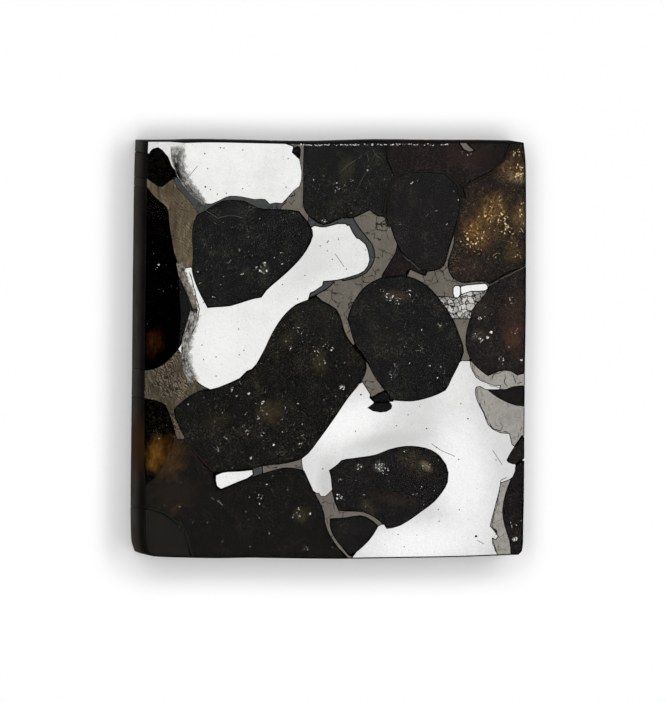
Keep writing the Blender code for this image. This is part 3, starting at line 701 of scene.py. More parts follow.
VEILS = (
    VeilFinish("oval veil", (0.001, 0.001, 0.001), (0.012, 0.013, 0.010), (0.020, 0.019, 0.012),
               (0.110, 0.110, 0.085), painted_reflection=(0.030, 0.030, 0.0345), glows=(
                   Glow(-7.9, 10.7, 3.2, 1.1, 5.0, (0.020, 0.024, 0.026), 0.9, 0.3),
                   Glow(-5.8, 6.2, 1.1, 1.0, 60.0, (0.150, 0.140, 0.105)),
                   Glow(-7.3, 6.1, 1.1, 0.7, 30.0, (0.060, 0.052, 0.025)))),
    VeilFinish("middle veil", (0.001, 0.001, 0.001), (0.014, 0.014, 0.010), (0.026, 0.023, 0.012),
               (0.110, 0.105, 0.075), painted_reflection=(0.030, 0.030, 0.0345), glows=(
                   Glow(4.8, 4.2, 2.8, 1.1, -10.0, (0.130, 0.075, 0.040)),
                   Glow(8.4, 1.8, 0.8, 0.7, 0.0, (0.070, 0.080, 0.030)),
                   Glow(3.6, 1.0, 2.4, 5.0, 30.0, (0.030, 0.026, 0.012), 0.7))),
    VeilFinish("lower oval veil", (0.002, 0.002, 0.002), (0.016, 0.014, 0.010), (0.036, 0.027, 0.016),
               (0.100, 0.090, 0.065), flecks=0.4, painted_reflection=(0.029, 0.028, 0.0325), glows=(
                   Glow(6.4, -8.6, 3.8, 2.2, -25.0, (0.105, 0.080, 0.040), 1.0, 0.8),
                   Glow(7.3, -8.9, 1.5, 0.7, -42.0, (0.520, 0.430, 0.230)),
                   Glow(3.6, -8.95, 1.2, 1.1, 0.0, (0.220, 0.220, 0.200)),
                   Glow(2.0, -8.95, 0.9, 0.7, 0.0, (0.120, 0.115, 0.100)),
                   Glow(2.7, -12.0, 2.0, 1.1, -40.0, (0.100, 0.080, 0.040)),
                   Glow(5.0, -11.5, 4.5, 1.2, -5.0, (0.060, 0.040, 0.026), 0.8))),
    VeilFinish("diagonal veil", (0.001, 0.001, 0.001), (0.016, 0.015, 0.010), (0.036, 0.030, 0.014),
               (0.110, 0.100, 0.065), (
                   Glow(-1.3, -0.8, 2.6, 1.6, 100.0, (0.100, 0.080, 0.034)),
                   Glow(-5.2, -4.7, 3.0, 2.4, 20.0, (0.110, 0.080, 0.032)),
                   Glow(-3.9, 0.9, 2.0, 1.6, 30.0, (0.080, 0.066, 0.032)),
                   Glow(-9.4, -5.4, 3.0, 1.4, 10.0, (0.045, 0.036, 0.015)),
                   Glow(-1.6, 2.6, 7.0, 7.5, 60.0, (0.030, 0.030, 0.024), 0.6, 0.5)), painted_reflection=(0.0205, 0.0205, 0.0225)),
    VeilFinish("upper round veil", (0.003, 0.003, 0.002), (0.017, 0.016, 0.012), (0.024, 0.018, 0.013),
               (0.085, 0.078, 0.060), painted_reflection=(0.035, 0.034, 0.039)),
    VeilFinish("top veil", (0.002, 0.002, 0.002), (0.014, 0.014, 0.011), (0.024, 0.023, 0.013),
               (0.095, 0.090, 0.066), (Glow(0.6, 13.9, 3.0, 1.6, 80.0, (0.060, 0.060, 0.028)),),
               painted_reflection=(0.032, 0.032, 0.036)),
    VeilFinish("top red veil", (0.006, 0.004, 0.003), (0.028, 0.019, 0.015), (0.038, 0.024, 0.018),
               (0.105, 0.078, 0.060), (
                   Glow(10.2, 15.0, 5.0, 2.4, -8.0, (0.054, 0.024, 0.020), 0.9, 0.5),),
               painted_reflection=(0.032, 0.029, 0.032)),
    VeilFinish("small red veil", (0.008, 0.004, 0.003), (0.040, 0.020, 0.013), (0.055, 0.026, 0.016),
               (0.080, 0.045, 0.030)),
    VeilFinish("amber veil", (0.010, 0.008, 0.007), (0.052, 0.038, 0.024), (0.080, 0.054, 0.032),
               (0.300, 0.210, 0.120), (
                   Glow(11.2, 14.2, 3.6, 3.4, 0.0, (0.060, 0.028, 0.020), 0.8, 0.6),
                   Glow(10.6, 6.4, 2.6, 2.4, 0.0, (0.090, 0.046, 0.038), 0.8, 0.7),
                   Glow(12.0, 9.9, 5.8, 4.4, 55.0, (0.230, 0.118, 0.032), 0.95, 0.9),
                   Glow(12.3, 10.8, 3.6, 2.4, 60.0, (0.520, 0.280, 0.074), 0.95, 0.9),
                   Glow(11.0, 9.1, 3.2, 2.2, -45.0, (0.560, 0.300, 0.080), 0.95, 0.9),
                   Glow(13.7, 14.0, 3.4, 2.8, -10.0, (0.300, 0.160, 0.045), 0.95, 0.9),
                   Glow(14.3, 13.3, 1.4, 2.0, 70.0, (0.640, 0.500, 0.280), 0.9, 0.9),
                   Glow(14.6, 10.4, 2.8, 1.6, 85.0, (0.560, 0.330, 0.100), 0.9, 0.8),
                   Glow(14.2, 7.6, 2.0, 2.2, 0.0, (0.200, 0.120, 0.028), 0.9, 0.7)),
               painted_reflection=(0.028, 0.027, 0.029)),
    VeilFinish("right veil", (0.007, 0.005, 0.004), (0.044, 0.031, 0.021), (0.062, 0.044, 0.027),
               (0.130, 0.100, 0.070), (
                   Glow(14.1, 2.6, 5.2, 2.8, 90.0, (0.090, 0.042, 0.022), 0.9, 0.5),
                   Glow(14.2, 0.9, 2.8, 2.2, 90.0, (0.160, 0.062, 0.026), 0.95, 0.5),
                   Glow(11.4, 3.4, 2.4, 2.4, 0.0, (0.070, 0.055, 0.038)),
                   Glow(11.4, 1.2, 1.8, 1.0, 20.0, (0.180, 0.150, 0.110), 0.8, 0.8))),
    VeilFinish("left veil", (0.0, 0.0, 0.0), (0.0015, 0.0012, 0.0008), (0.003, 0.002, 0.001),
               (0.022, 0.019, 0.012), (
                   Glow(-14.5, 0.6, 2.6, 2.0, 80.0, (0.090, 0.028, 0.010)),), 0.5),
    VeilFinish("lower left veil", (0.001, 0.001, 0.001), (0.012, 0.011, 0.008), (0.022, 0.017, 0.010),
               (0.075, 0.068, 0.046), (
                   Glow(-12.6, -11.0, 4.6, 4.0, 0.0, (0.046, 0.026, 0.015), 0.8),
                   Glow(-13.2, -8.2, 4.4, 3.4, 65.0, (0.200, 0.085, 0.014), 0.9, 0.6),
                   Glow(-14.3, -7.9, 3.4, 1.6, 80.0, (0.480, 0.210, 0.030), 0.9, 0.6),
                   Glow(-12.6, -12.1, 2.0, 0.9, 40.0, (0.110, 0.052, 0.016), 0.8, 0.8),
                   Glow(-2.6, -12.6, 1.8, 1.7, 60.0, (0.100, 0.085, 0.034))), 0.55, painted_reflection=(0.021, 0.0205, 0.022)),
    VeilFinish("plain veil", (0.012, 0.009, 0.007), (0.020, 0.015, 0.010), (0.022, 0.017, 0.012),
               (0.060, 0.052, 0.040), (), 0.6, painted_reflection=(0.031, 0.029, 0.030)),
    VeilFinish("wedge veil", (0.003, 0.002, 0.001), (0.016, 0.012, 0.008), (0.030, 0.017, 0.010),
               (0.090, 0.070, 0.050)),
    VeilFinish("olivine seam", (0.012, 0.012, 0.010), (0.0165, 0.0160, 0.0140), (0.019, 0.0170, 0.0140),
               (0.030, 0.030, 0.025)),
    VeilFinish("brown seam", (0.014, 0.011, 0.009), (0.0215, 0.0165, 0.0140), (0.025, 0.0175, 0.0140),
               (0.035, 0.028, 0.022)),
)
TRIMS = (
    # Painted glint strength: the white, grey and faint glints are one flake finish at three brightnesses.
    FlakeFinish("white glint", (0.95, 0.96, 0.94), (0.80, 0.81, 0.78)),
    FlakeFinish("grey glint", (0.46, 0.46, 0.43), (0.34, 0.34, 0.31)),
    FlakeFinish("faint glint", (0.17, 0.17, 0.14), (0.11, 0.11, 0.09)),
    FlakeFinish("golden glint", (0.92, 0.74, 0.42), (0.70, 0.48, 0.22)),
    FlakeFinish("amber glint", (0.48, 0.30, 0.11), (0.34, 0.19, 0.07)),
    FlakeFinish("grey film", (0.17, 0.17, 0.155), (0.10, 0.10, 0.09)),
    FlakeFinish("red film", (0.10, 0.055, 0.040), (0.06, 0.035, 0.028)),
    FlakeFinish("black crack", (0.012, 0.011, 0.010), (0.030, 0.028, 0.025)),
    ScuffFinish("grey scuff and rim shade", (0.08, 0.08, 0.075), (0.52, 0.51, 0.48), 0.52, 0.9),
    ScuffFinish("dark scuff and rim shade", (0.030, 0.029, 0.026), (0.46, 0.45, 0.42), 0.51, 0.95),
    ScuffFinish("shadow scuff", (0.045, 0.043, 0.034), (0.30, 0.275, 0.215), 0.50),
    SawnFinish("sawn olivine", (0.070, 0.067, 0.061), (0.050, 0.043, 0.035), (
        Glow(-15.2, -7.4, 3.0, 5.5, 0.0, (0.044, 0.018, 0.006), 0.85, 0.3),)),
    SawnFinish("sawn metal", (0.085, 0.085, 0.082), (0.058, 0.058, 0.055)),
    SawnFinish("sawn sulphide", (0.090, 0.085, 0.076), (0.060, 0.055, 0.048)),
)


def pick_only(piece: bpy.types.Object) -> None:
    """Deselect everything, then select one object and make it active."""
    bpy.ops.object.select_all(action="DESELECT")
    piece.select_set(True)
    bpy.context.view_layer.objects.active = piece


def select_faces(piece: bpy.types.Object, wanted: Callable[[bpy.types.MeshPolygon], bool]) -> None:
    """Select a mesh's faces by a rule, in object mode, with nothing else selected.

    Args:
        piece: The object.
        wanted: Says whether a face is selected.
    """
    for vertex in piece.data.vertices:
        vertex.select = False
    for edge in piece.data.edges:
        edge.select = False
    for face in piece.data.polygons:
        face.select = wanted(face)


def in_edit(piece: bpy.types.Object, work: Callable[[], None], everything: bool = True) -> None:
    """Run operators on a piece in edit mode.

    Args:
        piece: The object.
        work: The operators.
        everything: Whether all of the mesh is selected first.
    """
    pick_only(piece)
    bpy.ops.object.mode_set(mode="EDIT")
    bpy.ops.mesh.select_mode(type="FACE")
    if everything:
        bpy.ops.mesh.select_all(action="SELECT")
    work()
    bpy.ops.object.mode_set(mode="OBJECT")


def copy_piece(source: bpy.types.Object, name: str) -> bpy.types.Object:
    """Copy an object with its own mesh and no parent.

    Args:
        source: The object to copy.
        name: Name of the copy.

    Returns:
        The copy, linked to the scene.
    """
    piece = bpy.data.objects.new(name, source.data.copy())
    piece.data.name = name
    bpy.context.scene.collection.objects.link(piece)
    return piece


def keep(piece: bpy.types.Object) -> None:
    """Attach a finished piece to the root body's empty.

    Args:
        piece: The finished object.
    """
    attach(piece, "root")


@dataclass
class Grain:
    """One grain of the slice, closed up against its neighbours and dressed."""

    node: str
    polished: str
    sawn: str
    swell: float = 0.05 * MM
    edge: float = 0.03 * MM

    def build(self, palette: Palette) -> bpy.types.Object:
        """Model the grain from its node and dress it.

        Args:
            palette: The finishes.

        Returns:
            The finished piece.
        """
        piece = copy_piece(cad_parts[self.node], self.node + "_look")
        in_edit(piece, self.join_faces)
        self.close_up(piece)
        bevel = piece.modifiers.new("fine edge", "BEVEL")
        bevel.width = self.edge
        bevel.segments = 1
        bevel.limit_method = "ANGLE"
        bevel.angle_limit = math.radians(50)
        pick_only(piece)
        bpy.ops.object.modifier_apply(modifier=bevel.name)
        self.dress(piece, palette)
        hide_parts(self.node)
        keep(piece)
        return piece

    def join_faces(self) -> None:
        """Join the loose faces into whole ones."""
        bpy.ops.mesh.remove_doubles(threshold=1e-7)
        bpy.ops.mesh.dissolve_limited(angle_limit=math.radians(0.3))

    def close_up(self, piece: bpy.types.Object) -> None:
        """Grow the walls towards the neighbours, and leave the face, the back and the sawn sides in place.

        Args:
            piece: The grain.
        """
        spots = [vertex.co.copy() for vertex in piece.data.vertices]
        in_edit(piece, lambda: bpy.ops.transform.shrink_fatten(value=self.swell))
        for vertex, spot in zip(piece.data.vertices, spots):
            vertex.co.z = spot.z
            if abs(spot.x) > SIDE_X:
                vertex.co.x = spot.x
            if abs(spot.y) > SIDE_Y:
                vertex.co.y = spot.y

    def dress(self, piece: bpy.types.Object, palette: Palette) -> None:
        """Give the face its polish and the walls and the back their saw finish."""
        piece.data.materials.clear()
        piece.data.materials.append(palette[self.polished])
        piece.data.materials.append(palette[self.sawn])
        for face in piece.data.polygons:
            face.material_index = (Side.POLISHED if face.normal.z > 0.96 else Side.SAWN).value
        pick_only(piece)
        bpy.ops.object.shade_smooth_by_angle(angle=math.radians(2.5))


@dataclass
class Pits:
    """Small pits and short scratches cut into a polished metal face."""

    pits: Sequence[tuple[float, float, float]]
    scratches: Sequence[tuple[Point, Point]] = ()

    def cut(self, piece: bpy.types.Object, palette: Palette) -> None:
        """Cut every mark out of a piece.

        Args:
            piece: The metal grain.
            palette: The finishes.
        """
        marks = []
        for x, y, size in self.pits:
            bpy.ops.mesh.primitive_ico_sphere_add(subdivisions=2, radius=size * MM / 2,
                                                  location=(x * MM, y * MM, FACE_HEIGHT))
            mark = bpy.context.object
            bpy.ops.transform.resize(value=(1.0, 0.8, 1.6))
            marks.append(mark)
        for (x0, y0), (x1, y1) in self.scratches:
            middle = ((x0 + x1) / 2 * MM, (y0 + y1) / 2 * MM, FACE_HEIGHT)
            length = math.dist((x0, y0), (x1, y1)) * MM
            bpy.ops.mesh.primitive_cylinder_add(vertices=6, radius=0.022 * MM, depth=length,
                                                location=middle, rotation=(math.pi / 2, 0, 0))
            mark = bpy.context.object
            mark.rotation_euler = (math.pi / 2, 0, math.atan2(y1 - y0, x1 - x0) + math.pi / 2)
            marks.append(mark)
        bpy.ops.object.select_all(action="DESELECT")
        for mark in marks:
            mark.data.materials.clear()
            mark.data.materials.append(palette["sawn sulphide"])
            mark.select_set(True)
        bpy.context.view_layer.objects.active = marks[0]
        bpy.ops.object.join()
        cutter = bpy.context.object
        bpy.ops.object.transform_apply(location=True, rotation=True, scale=True)
        cut = piece.modifiers.new("pits", "BOOLEAN")
        cut.object = cutter
        cut.operation = "DIFFERENCE"
        cut.solver = "EXACT"
        cut.use_self = True
        cut.material_mode = "TRANSFER"
        pick_only(piece)
        bpy.ops.object.modifier_apply(modifier=cut.name)
        bpy.data.objects.remove(cutter)


@dataclass
class Veil:
    """The cloudy inside of a crystal, as a wavy sheet under its polished face."""

    node: str
    finish: str
    depth: float = 0.16
    relief: float = 0.05
    pitch: float = 0.6
    margin: float = 0.01

    def build(self, crystal: bpy.types.Object, palette: Palette) -> bpy.types.Object:
        """Model the sheet from the crystal's polished face.

        Args:
            crystal: The dressed crystal.
            palette: The finishes.

        Returns:
            The finished sheet.
        """
        sheet = copy_piece(crystal, self.node + "_veil")
        sheet.data.materials.clear()
        sheet.data.materials.append(palette[self.finish])
        select_faces(sheet, lambda face: face.normal.z < 0.96)
        in_edit(sheet, lambda: bpy.ops.mesh.delete(type="FACE"), everything=False)
        # The level mark says where the painted reflection goes: under the flat face, and under rolled-off faces above
        # DARK_BELOW.
        level = sheet.data.attributes.new("level", "FLOAT", "FACE")
        for mark, face in zip(level.data, sheet.data.polygons):
            mark.value = 1.0 if face.normal.z > 0.9999 or face.center.y > DARK_BELOW else 0.0
        in_edit(sheet, self.draw_in)
        in_edit(sheet, lambda: self.slice_up(sheet))
        clouds = bpy.data.textures.new(sheet.name, "CLOUDS")
        clouds.noise_scale = 1.6 * MM
        wave = sheet.modifiers.new("relief", "DISPLACE")
        wave.texture = clouds
        wave.texture_coords = "LOCAL"
        wave.direction = "Z"
        wave.strength = self.relief * MM
        pick_only(sheet)
        bpy.ops.object.modifier_apply(modifier=wave.name)
        bpy.data.textures.remove(clouds)
        bpy.ops.object.shade_smooth()
        keep(sheet)
        return sheet

    def draw_in(self) -> None:
        """Draw the sheet's rim in from the crystal's walls and sink the sheet."""
        bpy.ops.mesh.inset(thickness=self.margin * MM, use_even_offset=False)
        bpy.ops.mesh.select_all(action="INVERT")
        bpy.ops.mesh.delete(type="FACE")
        bpy.ops.mesh.select_all(action="SELECT")
        bpy.ops.transform.translate(value=(0, 0, -self.depth * MM))

    def slice_up(self, sheet: bpy.types.Object) -> None:
        """Cut the sheet into small faces so that it can be given relief.

        Args:
            sheet: The sheet, in edit mode.
        """
        low = [min(corner[axis] for corner in sheet.bound_box) for axis in range(2)]
        high = [max(corner[axis] for corner in sheet.bound_box) for axis in range(2)]
        for axis in range(2):
            normal = (1, 0, 0) if axis == 0 else (0, 1, 0)
            count = int((high[axis] - low[axis]) / (self.pitch * MM))
            for i in range(1, count + 1):
                spot = [0.0, 0.0, 0.0]
                spot[axis] = low[axis] + i * (high[axis] - low[axis]) / (count + 1)
                bpy.ops.mesh.select_all(action="SELECT")
                bpy.ops.mesh.bisect(plane_co=spot, plane_no=normal)


class Flake:
    """One uneven cleavage flake, modelled once and copied."""

    def __init__(self) -> None:
        """Model the flake: a thin plate with broken sides."""
        bpy.ops.object.select_all(action="DESELECT")
        bpy.ops.mesh.primitive_circle_add(vertices=6, radius=0.5, fill_type="NGON")
        self.shape = bpy.context.object
        chance = random.Random(5)
        for vertex in self.shape.data.vertices:
            vertex.co *= chance.uniform(0.5, 1.2)
        in_edit(self.shape, lambda: bpy.ops.mesh.extrude_region_move(
            TRANSFORM_OT_translate={"value": (0, 0, -0.06)}))
        in_edit(self.shape, lambda: bpy.ops.mesh.normals_make_consistent(inside=False))

    def drop(self) -> None:
        """Remove the pattern flake."""
        bpy.data.objects.remove(self.shape)


@dataclass(frozen=True)
class Spot:
    """A group of flakes: where, how widely spread and how many, in millimetres."""

    x: float
    y: float
    spread: float
    count: int
    size: float


@dataclass
class Glints:
    """Cleavage flakes sealed in a crystal, in three strengths: copies of one flake finish painted bright, middling
    and faint, a painted glint strength.
    """

    node: str
    tones: tuple[str, str, str]
    spots: Sequence[Spot]
    dust: float
    seed: int = 3
    chance: random.Random = field(init=False)

    def __post_init__(self) -> None:
        """Start the crystal's own run of chance."""
        self.chance = random.Random(self.seed)

    def build(self, crystal: bpy.types.Object, flake: Flake, palette: Palette) -> bpy.types.Object | None:
        """Place every flake inside the crystal.

        Args:
            crystal: The dressed crystal.
            flake: The flake to copy.
            palette: The finishes.

        Returns:
            The flakes as one piece, or nothing where the crystal has none.
        """
        shape = bmesh.new()
        for spot in self.spots:
            for _ in range(spot.count):
                reach = spot.spread * math.sqrt(self.chance.random())
                turn = self.chance.uniform(0, 2 * math.pi)
                place = Vector((spot.x + reach * math.cos(turn), spot.y + reach * math.sin(turn), 0)) * MM
                tone = 0 if self.chance.random() < 0.6 else 1
                self.add(shape, flake, crystal, place, spot.size * self.chance.uniform(0.5, 1.25), tone, 0.07)
        low = [min(corner[axis] for corner in crystal.bound_box) for axis in range(2)]
        high = [max(corner[axis] for corner in crystal.bound_box) for axis in range(2)]
        area = (high[0] - low[0]) * (high[1] - low[1]) / MM**2
        for _ in range(int(area * self.dust)):
            place = Vector((self.chance.uniform(low[0], high[0]), self.chance.uniform(low[1], high[1]), 0))
            tone = self.chance.choices((0, 1, 2), (0.12, 0.35, 0.53))[0]
            size = 0.025 + 0.06 * self.chance.random()**2
            self.add(shape, flake, crystal, place, size, tone, 0.09)
        if not shape.verts:
            shape.free()
            return None
        mesh = bpy.data.meshes.new(self.node + "_glints")
        shape.to_mesh(mesh)
        shape.free()
        piece = bpy.data.objects.new(mesh.name, mesh)
        bpy.context.scene.collection.objects.link(piece)
        for tone in self.tones:
            mesh.materials.append(palette[tone])
        keep(piece)
        return piece

    def add(self, shape: bmesh.types.BMesh, flake: Flake, crystal: bpy.types.Object, spot: Vector,
            size: float, tone: int, deep: float) -> None:
        """Add one flake if it lies inside the crystal.

        Args:
            shape: The mesh that gathers the flakes.
            flake: The flake to copy.
            crystal: The crystal it lies in.
            spot: Its place on the face, in metres.
            size: Its width, in millimetres.
            tone: Which of the three strengths it has.
            deep: Its greatest depth, in millimetres.
        """
        depth = self.chance.uniform(0.03, deep) + size * 0.1
        tilt = Euler((self.chance.gauss(0, 0.08), self.chance.gauss(0, 0.08), self.chance.uniform(0, 6.28)))
        stretch = self.chance.uniform(0.15, 0.7)
        reach = size * MM * 0.6 + 0.04 * MM
        for turn in range(4):
            edge = spot + Vector((math.cos(turn * 1.57), math.sin(turn * 1.57), 0)) * reach
            hit, _, normal, _ = crystal.ray_cast(edge + Vector((0, 0, 1)), Vector((0, 0, -1)))
            if not hit or normal.z < 0.96:
                return
        _, top, _, _ = crystal.ray_cast(spot + Vector((0, 0, 1)), Vector((0, 0, -1)))
        first = len(shape.verts)
        faces = len(shape.faces)
        shape.from_mesh(flake.shape.data)
        shape.verts.ensure_lookup_table()
        shape.faces.ensure_lookup_table()
        place = (Matrix.Translation((spot.x, spot.y, top.z - depth * MM)) @ tilt.to_matrix().to_4x4()
                 @ Matrix.Diagonal((size * MM, size * MM * stretch, size * MM, 1.0)))
        for vertex in shape.verts[first:]:
            vertex.co = place @ vertex.co
        for face in shape.faces[faces:]:
            face.material_index = tone


@dataclass
class Thread:
    """A healed crack, a film between crystals or a surface crack, drawn as a thin broken line."""

    name: str
    node: str
    finish: str
    points: Sequence[Point]
    width: float = 0.05
    depth: float = 0.05
    shake: float = 0.02
    kept: float = 1.0
    step: float = 0.15

    def build(self, palette: Palette) -> bpy.types.Object:
        """Model the line as flattened wires.

        Args:
            palette: The finishes.

        Returns:
            The finished piece.
        """
        chance = random.Random(len(self.name) * 7 + len(self.points))
        path = []
        for (x0, y0), (x1, y1) in zip(self.points, self.points[1:]):
            steps = max(2, int(math.dist((x0, y0), (x1, y1)) / self.step))
            path += [(x0 + (x1 - x0) * i / steps + chance.gauss(0, self.shake),
                      y0 + (y1 - y0) * i / steps + chance.gauss(0, self.shake)) for i in range(steps)]
        path.append(self.points[-1])
        curve = bpy.data.curves.new(self.name, "CURVE")
        curve.dimensions = "3D"
        curve.bevel_depth = self.width / 2 * MM
        curve.bevel_resolution = 1
        curve.use_fill_caps = True
        run: list[Point] = []
        for i, spot in enumerate(path):
            run.append(spot)
            broken = chance.random() > self.kept
            if (broken or i == len(path) - 1) and len(run) > 1:
                self.add_wire(curve, run, chance)
            if broken:
                run = []
        piece = bpy.data.objects.new(self.name, curve)
        bpy.context.scene.collection.objects.link(piece)
        pick_only(piece)
        bpy.ops.object.convert(target="MESH")
        piece = bpy.context.object
        in_edit(piece, lambda: bpy.ops.transform.resize(
            value=(1, 1, 0.3), center_override=(0, 0, FACE_HEIGHT - self.depth * MM)))
        piece.data.materials.clear()
        piece.data.materials.append(palette[self.finish])
        keep(piece)
        return piece

    def add_wire(self, curve: bpy.types.Curve, run: Sequence[Point], chance: random.Random) -> None:
        """Add one unbroken stretch of the line.

        Args:
            curve: The curve that gathers the stretches.
            run: Its points, in millimetres.
            chance: The line's own run of chance.
        """
        wire = curve.splines.new("POLY")
        wire.points.add(len(run) - 1)
        for i, (point, (x, y)) in enumerate(zip(wire.points, run)):
            point.co = (x * MM, y * MM, FACE_HEIGHT - self.depth * MM, 1.0)
            point.radius = 0.3 if i in (0, len(run) - 1) else chance.uniform(0.5, 1.2)


@dataclass
class Scuff:
    """A streaky burr on a metal grain, as a ribbon that lies on it, partly painted shade of the rolled-off rim."""

    name: str
    node: str
    finish: str
    points: Sequence[Point]
    start: float
    end: float

    def build(self, metal: bpy.types.Object, palette: Palette) -> bpy.types.Object:
        """Model the ribbon along its path.

        Args:
            metal: The metal grain it lies on.
            palette: The finishes.

        Returns:
            The finished piece.
        """
        bpy.ops.object.select_all(action="DESELECT")
        bpy.ops.mesh.primitive_grid_add(x_subdivisions=32, y_subdivisions=3, size=1, calc_uvs=True)
        piece = bpy.context.object
        piece.name = self.name
        path = [Vector(point) for point in self.points]
        for vertex in piece.data.vertices:
            along = (vertex.co.x + 0.5) * (len(path) - 1)
            i = min(int(along), len(path) - 2)
            part = along - i
            middle = path[i].lerp(path[i + 1], part)
            ahead = (path[i + 1] - path[i]).normalized()
            width = self.start + (self.end - self.start) * (vertex.co.x + 0.5)
            across = Vector((ahead.y, -ahead.x)) * vertex.co.y * width
            spot = (middle + across) * MM
            hit, top, _, _ = metal.ray_cast(Vector((spot.x, spot.y, 1)), Vector((0, 0, -1)))
            vertex.co = (spot.x, spot.y, max(top.z if hit else 0.0, FACE_HEIGHT) + 0.012 * MM)
        in_edit(piece, lambda: bpy.ops.mesh.normals_make_consistent(inside=False))
        if piece.data.polygons[0].normal.z < 0:
            in_edit(piece, bpy.ops.mesh.flip_normals)
        piece.data.materials.append(palette[self.finish])
        keep(piece)
        return piece


@dataclass
class EdgeChips:
    """Tiny chips broken out along the upper edge, drawn as white flakes: chips with a painted highlight."""

    name: str
    node: str
    path: Sequence[Point]
    count: int
    size: float = 0.10

    def build(self, flake: Flake, palette: Palette) -> bpy.types.Object:
        """Scatter the chips along the path.

        Args:
            flake: The flake to copy.
            palette: The finishes.

        Returns:
            The finished piece.
        """
        chance = random.Random(self.count)
        shape = bmesh.new()
        for _ in range(self.count):
            along = chance.random() * (len(self.path) - 1)
            i = int(along)
            (x0, y0), (x1, y1) = self.path[i], self.path[i + 1]
            x = x0 + (x1 - x0) * (along - i)
            y = y0 + (y1 - y0) * (along - i) + chance.gauss(0, 0.035)
            first = len(shape.verts)
            shape.from_mesh(flake.shape.data)
            shape.verts.ensure_lookup_table()
            size = self.size * chance.uniform(0.4, 1.6) * MM
            place = (Matrix.Translation((x * MM, y * MM, FACE_HEIGHT + 0.004 * MM))
                     @ Matrix.Diagonal((size, min(size * 0.5, 0.05 * MM), 0.05 * MM, 1.0)))
            for vertex in shape.verts[first:]:
                vertex.co = place @ vertex.co
        mesh = bpy.data.meshes.new(self.name)
        shape.to_mesh(mesh)
        shape.free()
        piece = bpy.data.objects.new(self.name, mesh)
        bpy.context.scene.collection.objects.link(piece)
        # Painted highlight: the chips take the white glint finish.
        mesh.materials.append(palette["white glint"])
        keep(piece)
        return piece


GRAINS = {
    Mineral.METAL: {
        "metal_top": "bright nickel-iron",
        "metal_middle_band": "banded nickel-iron",
        "metal_left_bar": "bright nickel-iron",
        "metal_right_bead": "bright nickel-iron",
        "metal_right_bar": "bright nickel-iron",
        "metal_lower_right": "wide nickel-iron",
    },
    Mineral.TROILITE: {
        "troilite_top_sliver": "plain sulphide",
        "troilite_top_wedge": "grey sulphide",
        "troilite_centre": "grey sulphide",
        "troilite_right": "grey sulphide",
        "troilite_tail": "plain sulphide",
        "troilite_small_triangle": "plain sulphide",
        "troilite_thin_vein": "plain sulphide",
        "troilite_fork": "plain sulphide",
        "troilite_left": "rusty sulphide",
        "troilite_lower_left": "wormy sulphide",
        "troilite_right_plate": "pale sulphide",
        "troilite_right_shard": "pale sulphide",
        "troilite_right_strip": "pale sulphide",
    },
    Mineral.MIXED: {"mixed_patch": "granular intergrowth"},
    Mineral.RIM: {
        "rim_under_top_metal": "grey rim",
        "rim_round_middle_metal": "grey rim",
        "rim_wedge": "grey rim",
        "rim_bar_tip": "grey rim",
    },
    Mineral.CHROMITE: {"chromite_lens": "black oxide"},
}
SAWN = {Mineral.METAL: "sawn metal", Mineral.OLIVINE: "sawn olivine", Mineral.CHROMITE: "sawn olivine"}
WHITE = ("white glint", "grey glint", "faint glint")
GOLD = ("golden glint", "amber glint", "amber glint")


@dataclass
class Crystal:
    """An olivine crystal with what is sealed in it."""

    node: str
    veil: str
    glass: str = "dark olivine"
    tones: tuple[str, str, str] = WHITE
    spots: Sequence[Spot] = ()
    dust: float = 2.0

    def build(self, flake: Flake, palette: Palette, seed: int) -> None:
        """Model the crystal, its veil and its flakes.

        Args:
            flake: The flake to copy.
            palette: The finishes.
            seed: Start of the crystal's own run of chance.
        """
        crystal = Grain(self.node, self.glass, SAWN[Mineral.OLIVINE], edge=0.015 * MM).build(palette)
        Veil(self.node, self.veil).build(crystal, palette)
        Glints(self.node, self.tones, self.spots, self.dust, seed=seed).build(crystal, flake, palette)


